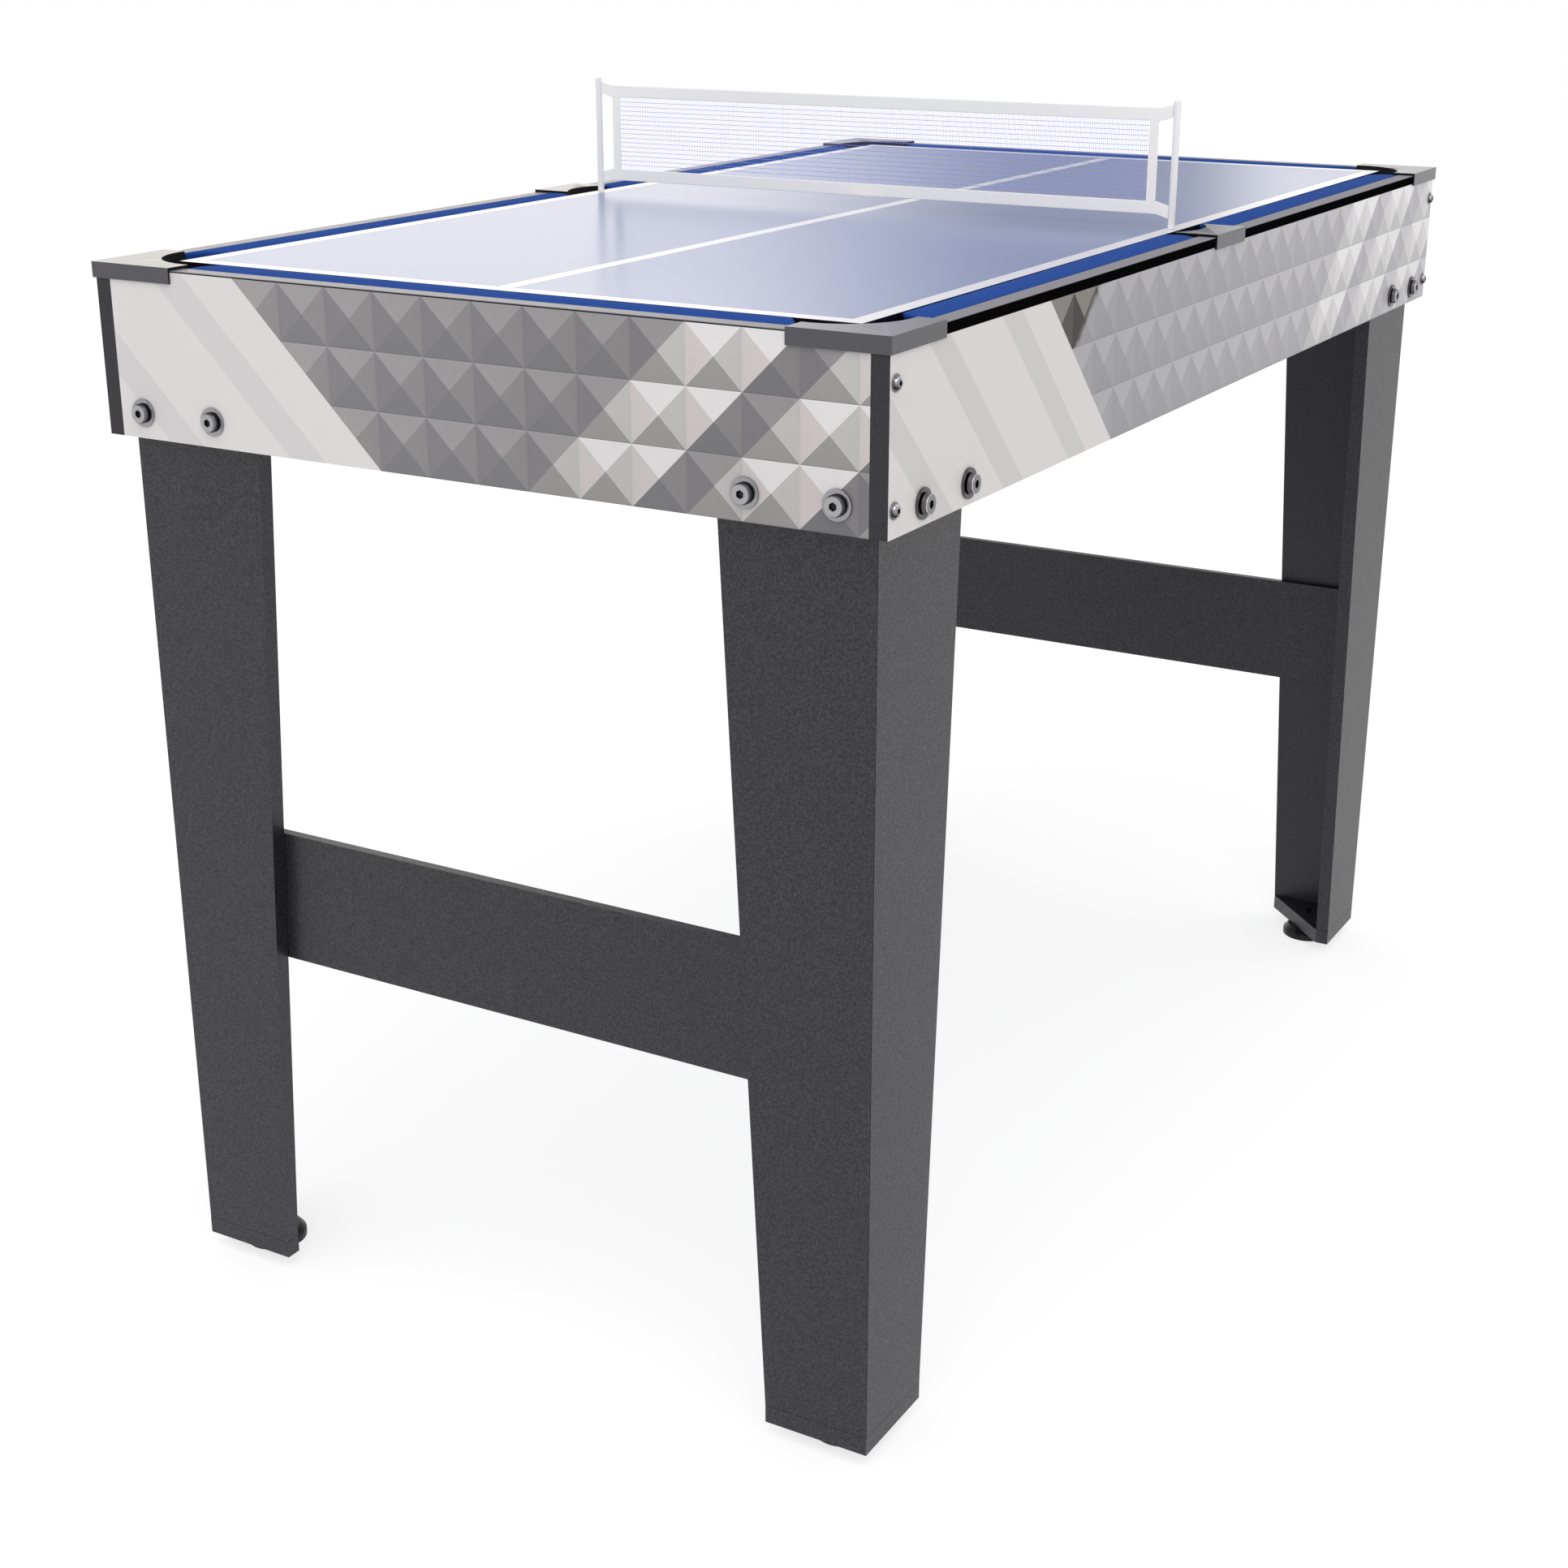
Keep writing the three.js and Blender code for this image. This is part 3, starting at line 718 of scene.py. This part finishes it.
def side_box(node, side):
    """A node's box in its side's own axes."""
    inverse = side_matrix(side).inverted()
    ends = [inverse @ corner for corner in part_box(node)]
    low = Vector(min(pair) for pair in zip(*ends))
    high = Vector(max(pair) for pair in zip(*ends))
    return low, high


def wear(piece, material, slot):
    """Gives a piece its one material; the slot is not used."""
    piece.data.materials.clear()
    piece.data.materials.append(material)


class TableOperator(bpy.types.Operator):
    """Common settings of the table's operators."""

    bl_options = {"REGISTER"}

    def execute(self, context):
        self.build(context.scene)
        return {"FINISHED"}

    def place_data(self, name, data, location):
        """An object for a lamp or camera."""
        holder = bpy.data.objects.new(name, data)
        bpy.context.scene.collection.objects.link(holder)
        holder.location = location
        return holder

    def extrude(self, across, up):
        """Draws the selected faces out in edit mode."""
        bpy.ops.mesh.extrude_region_move(TRANSFORM_OT_translate={"value": (0, across, up)})


class BoardOperator(TableOperator):
    """Finish the aprons, legs, tennis top, bed and bearer"""

    bl_idname = "games_table.finish_boards"
    bl_label = "Finish Boards"

    def build(self, scene):
        boards = scene.table_boards
        for side in SIDES:
            apron = printed_apron(side, scene.table_print, boards)
            coat_node(f"{kind_of(side)}_apron_{side}", apron)
        laminate = speckled_laminate(boards)
        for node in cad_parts:
            if node.startswith(("leg_", "foot_plate")):
                coat_node(node, laminate)
        raw = grained("raw_board", boards.raw_board, 0.8, (120, 4), 0.15, (0.0002, 0.4), stretch=(0.08, 1, 1))
        coat_node("bed_bearer", raw)
        coat_node("tennis_top", tennis_finish(scene.table_tennis))
        coat_node("pool_bed", cloth_finish(scene.table_cloth))


class PocketOperator(TableOperator):
    """Model the pocket mouldings with rounded edges"""

    bl_idname = "games_table.model_pockets"
    bl_label = "Model Pockets"

    def build(self, scene):
        boards = scene.table_boards
        plastic = cap_finish(boards)
        inside = grained("pocket_inside", boards.cup, 0.7, (500, 2), 0.2, (0.00003, 0.3), 0.1)
        for node in [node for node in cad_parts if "_pocket_" in node]:
            piece = copy_node(node, f"{node}_moulding")
            wear(piece, plastic, "pocket_plastic")
            piece.data.materials.append(inside)
            # What lies below the eased top edge and within the aprons' outer faces is the inside
            for face in piece.data.polygons:
                x, y, z = face.center
                within = abs(x) < HALF_LENGTH - HAIR and abs(y) < HALF_WIDTH - HAIR
                face.material_index = 1 if within and z < CAP_TOP - EASE * 1.2 else 0
            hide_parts(node)
            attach(piece, "table")


class RailOperator(TableOperator):
    """Model the rail strips with eased edges, pale on top and black at their edges, partly as painted shade
    """

    bl_idname = "games_table.model_rails"
    bl_label = "Model Rails"

    def build(self, scene):
        boards = scene.table_boards
        grain = ((500, 3), 0.04, (0.00003, 0.3))
        glossy = grained("end_rail_top", boards.end_rail, 0.34, *grain, 0.3)
        dull = grained("side_rail_top", boards.side_rail, 0.56, *grain, 0.2)
        edge = rail_edge_and_gap_shade_finish(boards)
        for node in [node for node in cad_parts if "_rail_" in node]:
            piece = copy_node(node, f"{node}_strip")
            # The front rail's paler, duller top is a painted lit copy of the same rail top
            piece.data.materials.append(dull if node == "side_rail_front" else glossy)
            piece.data.materials.append(edge)
            for face in piece.data.polygons:
                face.material_index = 0 if face.normal.z > 0.3 else 1
            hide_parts(node)
            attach(piece, "table")


class CushionOperator(TableOperator):
    """Model the cloth-covered cushions"""

    bl_idname = "games_table.model_cushions"
    bl_label = "Model Cushions"

    def build(self, scene):
        cloth = cloth_finish(scene.table_cloth)
        for side, ends in ENDS.items():
            parts = {"": (True, True)}
            if kind_of(side) == "side":
                parts = {f"_{ends[0]}": (True, False), f"_{ends[1]}": (False, True)}
            for part, is_corner in parts.items():
                self.cushion(scene.table_cloth, cloth, side, f"cushion_{side}{part}", is_corner)

    def cushion(self, settings, cloth, side, node, is_corner):
        """A box, undercut, slanted at its corner pockets, rounded at both jaws and the nose, and crowned."""
        low, high = side_box(node, side)
        top = RAIL_TOP
        piece = start_box(f"{node}_cloth", low, (high.x, high.y, top))
        near = 0.0001
        pick(piece, "VERT", lambda v: v.co.y > high.y - near and v.co.z < low.z + near)
        bpy.ops.transform.translate(value=(0, -settings.undercut, 0))
        for x, way, slanted in ((low.x, 1, is_corner[0]), (high.x, -1, is_corner[1])):
            if slanted:
                pick(piece, "VERT", lambda v: v.co.y > low.y + near and abs(v.co.x - x) < near)
                bpy.ops.transform.translate(value=(way * settings.setback, 0, 0))

        def is_jaw(edge):
            rise = edge.verts[0].co.z - edge.verts[1].co.z
            return middle(edge).y > low.y + near and abs(rise) > near

        pick(piece, "EDGE", is_jaw)
        bpy.ops.mesh.bevel(offset=settings.jaw, segments=6, affect="EDGES")
        pick(piece, "EDGE", lambda e: middle(e).z > top - near and middle(e).y > low.y + near)
        bpy.ops.mesh.bevel(offset=settings.nose, segments=5, affect="EDGES")
        width = high.y - low.y
        for step in (0.25, 0.5, 0.75):
            bpy.ops.mesh.select_all(action="SELECT")
            bpy.ops.mesh.bisect(plane_co=(0, low.y + width * step, 0), plane_no=(0, 1, 0))
        pick(piece, "VERT", lambda v: v.co.z > top - near and abs(v.co.y - low.y - width / 2) < near)
        bpy.ops.transform.translate(
            value=(0, 0, settings.crown), use_proportional_edit=True,
            proportional_edit_falloff="SPHERE", proportional_size=width * 0.5,
        )
        settle(piece, side_matrix(side))
        finish_mesh(piece, 40)
        wear(piece, cloth, "cushion_cloth")
        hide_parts(node)
        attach(piece, "table")


class NetOperator(TableOperator):
    """Model the net's tapes and mesh, and its posts"""

    bl_idname = "games_table.model_net"
    bl_label = "Model Net"

    def build(self, scene):
        net = scene.table_net
        low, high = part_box("net")
        self.posts(net)
        flare, arm, tape, side_tape = net.flare, net.arm, net.tape_width, net.side_tape
        half = net.tape_thickness / 2
        end = high.y - arm
        bottom = low.z + flare
        top = high.z - flare
        bars = []
        for name, z0, drop in (("top", top - tape, flare), ("bottom", bottom, -flare)):
            bar = start_box(f"net_{name}_tape", (-half, -end, z0), (half, end, z0 + tape))
            for way in (-1, 1):
                pick(bar, "FACE", lambda f: f.normal.y * way > 0.9)
                # In shares of an arm's length and of its spread
                for reach, rise in ((0.14, 0.05), (0.36, 0.4), (0.5, 0.55)):
                    self.extrude(way * arm * reach, drop * rise)
            bars.append(bar)
        # The side tapes are a little thinner and shorter, so that no two faces lie in one plane
        thin, short = half * 0.92, 0.001
        for way in (-1, 1):
            y0, y1 = sorted((way * end, way * (end - side_tape)))
            bar = start_box("net_side_tape", (-thin, y0, bottom + short), (thin, y1, top - short))
            bars.append(bar)
        for bar in bars:
            bevel_edges(bar, EASE, 50)
        tapes = join("net_tapes", bars)
        finish_mesh(tapes)
        wear(tapes, tape_finish(net), "net_cloth")
        mesh = self.strands(net, end - side_tape, bottom + tape, top - tape)
        wear(mesh, grained("net_strand", net.strand, 0.8, (800, 2), 0.1), "net_cloth")
        for piece in (tapes, mesh):
            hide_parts("net")
            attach(piece, "net_set")

    def strands(self, net, half, z0, z1):
        """Upright and level strands, each modelled once and repeated by an array that is applied."""
        overlap = 0.002
        count = round(2 * half / net.pitch_across) - 1
        pitch = 2 * half / (count + 1)
        upright = start_drum("net_upright", net.thin, z0 - overlap, z1 + overlap, 4)
        settle(upright, Matrix.Translation((0, -half + pitch, 0)))
        self.repeat(upright, count, (0, pitch, 0))
        rows = round((z1 - z0) / net.pitch_up) - 1
        step = (z1 - z0) / (rows + 1)
        level = start_drum("net_level", net.thick, -half - overlap, half + overlap, 6)
        settle(level, Matrix.Translation((0, 0, z0 + step)) @ Matrix.Rotation(math.pi / 2, 4, "X"))
        self.repeat(level, rows, (0, 0, step))
        return join("net_mesh", [upright, level])

    def repeat(self, piece, count, offset):
        """Repeats a piece by an array modifier that is applied."""
        activate(piece)
        array = piece.modifiers.new("repeat", "ARRAY")
        array.count = count
        array.use_relative_offset = False
        array.use_constant_offset = True
        array.constant_offset_displace = offset
        bpy.ops.object.modifier_apply(modifier=array.name)

    def posts(self, net):
        """Round posts with a domed top, each on a thinner spigot below the top's face."""
        plastic = smooth_plastic("post_plastic", net.post, 0.4)
        for node in ("net_post_front", "net_post_back"):
            low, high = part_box(node)
            radius = (high.x - low.x) / 2
            post = start_drum(f"{node}_rod", radius, PLAY_TOP + SEAT, high.z, 24)
            pick(post, "EDGE", lambda e: middle(e).z > high.z - HAIR)
            bpy.ops.mesh.bevel(offset=radius * 0.8, segments=6, affect="EDGES")
            pick(post, "FACE", lambda f: f.normal.z < -0.9)
            bpy.ops.mesh.inset(thickness=radius * 0.27)
            self.extrude(0, low.z - PLAY_TOP - SEAT)
            settle(post, Matrix.Translation((0, (low.y + high.y) / 2, 0)))
            finish_mesh(post, 16)
            wear(post, plastic, "post_plastic")
            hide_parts(node)
            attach(post, "net_set")


class FittingOperator(TableOperator):
    """Model the leg bolts, corner screws and levelling feet"""

    bl_idname = "games_table.model_fittings"
    bl_label = "Model Fittings"

    def build(self, scene):
        sizes = scene.table_fittings
        # Painted shade for the inside of every hexagon socket
        socket = smooth_plastic("socket_black", sizes.socket_black, 0.6)
        self.bolts(sizes, socket)
        self.screws(sizes, socket)
        self.feet(sizes)

    def bolts(self, sizes, socket):
        """A wide washer, a spring washer and a socket head on a shank, modelled once and copied."""
        washer_top = SEAT + sizes.washer_thickness
        spring_top = washer_top + sizes.spring_thickness
        head_top = spring_top + sizes.head_height
        washer = self.ring("washer", sizes.washer, sizes.shank, SEAT, washer_top, 40)
        spring_low = washer_top + sizes.spring_gap
        spring = self.ring("spring_washer", sizes.spring, sizes.shank, spring_low, spring_top, 36)
        head = start_drum("bolt_head", sizes.head, spring_top, head_top, 36)
        pick(head, "EDGE", lambda e: middle(e).z > head_top - HAIR)
        bpy.ops.mesh.bevel(offset=sizes.head_round, segments=3, affect="EDGES")
        metals = {}
        for kind in BOLT_LIT_AND_SHADED_TONES:
            first, *others = (
                plated_steel(f"{kind}_{part}_steel", getattr(sizes, f"{kind}_{part}"), roughness)
                for part, roughness in BOLT_METALS.items()
            )
            metals[kind] = (first, socket, *others)
        head_metal, socket, rim_painted_light_metal, washer_metal, spring_metal = metals["end"]
        self.hexagon(head, head_top, sizes.socket, sizes.socket_depth, head_metal, socket)
        head.data.materials.append(rim_painted_light_metal)
        for face in head.data.polygons:
            # The rounded rim, which carries the painted highlight or dark outline
            if 0.2 < face.normal.z < 0.95:
                face.material_index = 2
        tip = -side_box("bolt_front_left_outer", "front")[1].y
        shank = start_drum("bolt_shank", sizes.shank, tip, spring_top, 20)
        for part, metal in ((shank, head_metal), (washer, washer_metal), (spring, spring_metal)):
            part.data.materials.append(metal)
        bolt = join("leg_bolt", [head, washer, spring, shank])
        finish_mesh(bolt, 12)
        for side, ends in ENDS.items():
            for end in ends:
                for order in ("outer", "inner"):
                    node = f"bolt_{side}_{end}_{order}"
                    low, high = side_box(node, side)
                    centre = (low + high) / 2
                    piece = self.fit(bolt, f"{node}_fine", side, centre.x, centre.z)
                    # Each side takes its painted lit or shaded copy of the bolt's metals
                    for index, metal in enumerate(metals[kind_of(side)]):
                        piece.data.materials[index] = metal
                    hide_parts(node)
                    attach(piece, "table")
        bpy.data.objects.remove(bolt)

    def fit(self, model, name, side, x, z):
        """A copy of a bolt or screw, turned to face out of an apron."""
        place = Matrix.Translation((x, 0, z)) @ Matrix.Rotation(math.pi / 2, 4, "X")
        return copy_piece(model, name, side_matrix(side) @ place)

    def ring(self, name, outer, inner, low, high, sides):
        """A flat ring: a disc whose middle is taken out, with its edges eased."""
        piece = start_drum(name, outer, low, high, sides)
        pick(piece, "FACE", lambda f: abs(f.normal.z) > 0.9)
        bpy.ops.mesh.inset(thickness=outer - inner)
        bpy.ops.mesh.bridge_edge_loops()
        bevel_edges(piece, 0.0004, 50)
        return piece

    def hexagon(self, piece, top, radius, depth, metal, inside):
        """A hexagon socket sunk into the flat top of a head, painted black inside as the shade in the hole.
        """
        cutter = start_drum("socket_cutter", radius, top - depth, top + depth, 6)
        activate(piece)
        boolean = piece.modifiers.new("socket", "BOOLEAN")
        boolean.operation = "DIFFERENCE"
        boolean.object = cutter
        bpy.ops.object.modifier_apply(modifier=boolean.name)
        bpy.data.objects.remove(cutter)
        piece.data.materials.append(metal)
        piece.data.materials.append(inside)
        for face in piece.data.polygons:
            x, y, z = face.center
            sunk = top - depth - HAIR < z < top - HAIR
            face.material_index = 1 if sunk and math.hypot(x, y) < radius else 0

    def screws(self, sizes, socket):
        """Screws with a domed head on a thin flange, near the ends of the side aprons."""
        # High-contrast clouds paint the screws' mottled highlights, with a painted shade on their underside;
        # the flange has less of both
        metal = plated_steel("screw_steel", sizes.screw_steel, 0.2, 2.6, 1.3)
        seat = 0.0002
        flange = start_drum("screw_flange", sizes.screw, seat, seat + sizes.screw_flange, 32)
        bevel_edges(flange, 0.0003, 50)
        flange.data.materials.append(plated_steel("flange_steel", sizes.flange_steel, 0.3, 0.8, 0.4))
        top = sizes.screw_height
        dome = start_drum("corner_screw", sizes.dome, sizes.screw_flange, top, 32)
        pick(dome, "EDGE", lambda e: middle(e).z > top - HAIR)
        bpy.ops.mesh.bevel(offset=sizes.screw_round, segments=8, affect="EDGES")
        self.hexagon(dome, top, sizes.dome_socket, sizes.dome_socket_depth, metal, socket)
        screw = join("corner_screw", [dome, flange])
        finish_mesh(screw, 14)
        for side in ("front", "back"):
            for end, way in zip(ENDS[side], (-1, 1)):
                x = way * (HALF_LENGTH - sizes.screw_inset)
                for level, rise in (("low", sizes.screw_low), ("high", sizes.screw_high)):
                    name = f"corner_screw_{side}_{end}_{level}"
                    piece = self.fit(screw, name, side, x, APRON_BOTTOM + rise)
                    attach(piece, "table")
        bpy.data.objects.remove(screw)

    def feet(self, sizes):
        """Round feet with a sloped top, each on a stem."""
        plastic = smooth_plastic("foot_plastic", sizes.foot, 0.34, 0.28)
        steel = plated_steel("stem_steel", sizes.stem_steel, 0.5)
        for corner in CORNERS:
            node = f"levelling_foot_{corner}"
            low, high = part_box(node)
            place = Matrix.Translation(((low.x + high.x) / 2, (low.y + high.y) / 2, 0))
            radius = (high.x - low.x) / 2
            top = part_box(f"foot_plate_{corner}")[0].z - SEAT
            foot = start_drum(f"{node}_pad", radius, 0, sizes.foot_rim, 64)
            pick(foot, "FACE", lambda f: f.normal.z > 0.9)
            self.extrude(0, top - sizes.foot_rim)
            shrink = sizes.foot_top / radius
            bpy.ops.transform.resize(value=(shrink, shrink, 1))
            stem = start_drum(f"{node}_stem", sizes.stem, top - 0.001, high.z, 20)
            for piece, angle in ((foot, 20), (stem, 50)):
                bevel_edges(piece, EASE, angle)
                finish_mesh(piece)
                settle(piece, place)
            wear(foot, plastic, "foot_plastic")
            wear(stem, steel, "bolt_steel")
            for piece in (foot, stem):
                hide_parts(node)
                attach(piece, f"foot_{corner}")


class StageOperator(TableOperator):
    """Set up the floor, soft light and camera"""

    bl_idname = "games_table.set_stage"
    bl_label = "Set Stage"

    def build(self, scene):
        stage = scene.table_stage
        scene.view_settings.view_transform = "Standard"
        self.floor(stage)
        self.world(scene, stage)
        self.lamp(stage)
        self.camera(scene, stage)

    def floor(self, stage):
        deselect()
        bpy.ops.mesh.primitive_plane_add(size=24, location=(0, 0, 0))
        floor = bpy.context.object
        floor.name = "floor"
        floor.data.materials.append(self.paper(stage))

    def paper(self, stage):
        """White paper: seen straight or in gloss it is mostly its own white, and it keeps soft shadows."""
        finish = Finish("floor_paper", stage.floor, 0.9, specular=0.0)
        camera, gloss, glass = finish.seen()
        factor = camera.most(gloss).most(glass) * stage.floor_glow
        white = {"Color": (1, 1, 1, 1), "Strength": stage.floor_white}
        glow = finish.node("Emission", white)
        body = Value(finish, finish.shader.outputs[0])
        mixed = finish.node("MixShader", {0: factor, 1: body, 2: glow})
        finish.links.new(mixed.output, finish.nodes["Material Output"].inputs["Surface"])
        return finish.material

    def world(self, scene, stage):
        """White where it is seen, two brighter walls behind the table for gloss, else a plain soft light."""
        world = bpy.data.worlds.new("studio")
        scene.world = world
        world.use_nodes = True
        sky = Finish.of_world(world)
        camera, gloss, glass = sky.seen()
        x, y, z = sky.parts(sky.node("TexCoord", output="Generated"))
        yaw = x.maths("ARCTAN2", y)

        def rise(value, start, end):
            limits = {"Value": value, "From Min": start, "From Max": end}
            return sky.node("MapRange", limits, interpolation_type="SMOOTHSTEP")

        def between(*angles):
            """Rises from 0 to 1 between two angles round the table and falls between two more, in degrees."""
            start, full, fade, end = (math.radians(angle) for angle in angles)
            return rise(yaw, start, full) * (1 - rise(yaw, fade, end))

        gap = between(57, 66, 69, 72)
        walls = between(25, 45, 70, 77.5)
        low = 1 - rise(z, 0.35, 0.6)
        wall = gloss * (1 - camera) * low * walls
        glow = 1 + wall * (stage.wall_glow - gap * stage.gap_shade)
        plain = camera.most(gloss).most(glass)
        background = sky.nodes["Background"].inputs
        sky.feed(background["Strength"], plain * glow + (1 - plain) * stage.ambient)
        sky.feed(background["Color"], sky.mix(wall * (1 - gap), (1, 1, 1, 1), stage.wall))

    def lamp(self, stage):
        """One large square lamp high above the near corner, turned to the table."""
        place = Vector((-2.0, -0.9, 3.2))
        target = Vector((0, 0, 0.6))
        light = bpy.data.lights.new("key_lamp", "AREA")
        light.size = 2.6
        light.energy = stage.key
        holder = self.place_data("key_lamp", light, place)
        holder.rotation_mode = "QUATERNION"
        holder.rotation_quaternion = (target - place).to_track_quat("-Z", "Y")

    def camera(self, scene, stage):
        data = bpy.data.cameras.new("photo_camera")
        data.lens = stage.lens
        data.clip_end = 60
        camera = self.place_data("photo_camera", data, stage.camera)
        camera.rotation_euler = (math.pi / 2 - stage.pitch, 0, -stage.yaw)
        scene.camera = camera


class TablePanel(bpy.types.Panel):
    """Settings and steps of the games table."""

    bl_idname = "VIEW3D_PT_games_table"
    bl_label = "Games Table"
    bl_space_type = "VIEW_3D"
    bl_region_type = "UI"
    bl_category = "Games Table"

    def draw(self, context):
        for operator in OPERATORS:
            self.layout.operator(operator.bl_idname)
        for name, kind in GROUPS.items():
            column = self.layout.box().column()
            for key in kind.__annotations__:
                column.prop(getattr(context.scene, name), key)


GROUPS = {
    "table_print": PrintSettings,
    "table_boards": BoardSettings,
    "table_tennis": TennisSettings,
    "table_cloth": ClothSettings,
    "table_net": NetSettings,
    "table_fittings": FittingSettings,
    "table_stage": StageSettings,
}
OPERATORS = (
    BoardOperator, RailOperator, PocketOperator, CushionOperator, NetOperator, FittingOperator, StageOperator
)


def register():
    for group in GROUPS.values():
        name_properties(group)
        bpy.utils.register_class(group)
    for name, group in GROUPS.items():
        setattr(bpy.types.Scene, name, PointerProperty(type=group))
    for operator in OPERATORS:
        bpy.utils.register_class(operator)
    bpy.utils.register_class(TablePanel)


def unregister():
    bpy.utils.unregister_class(TablePanel)
    for operator in reversed(OPERATORS):
        bpy.utils.unregister_class(operator)
    for name in GROUPS:
        delattr(bpy.types.Scene, name)
    for group in GROUPS.values():
        bpy.utils.unregister_class(group)


def main():
    register()
    bpy.ops.games_table.finish_boards()
    bpy.ops.games_table.model_rails()
    bpy.ops.games_table.model_pockets()
    bpy.ops.games_table.model_cushions()
    bpy.ops.games_table.model_net()
    bpy.ops.games_table.model_fittings()
    bpy.ops.games_table.set_stage()


if __name__ == "__main__":
    main()
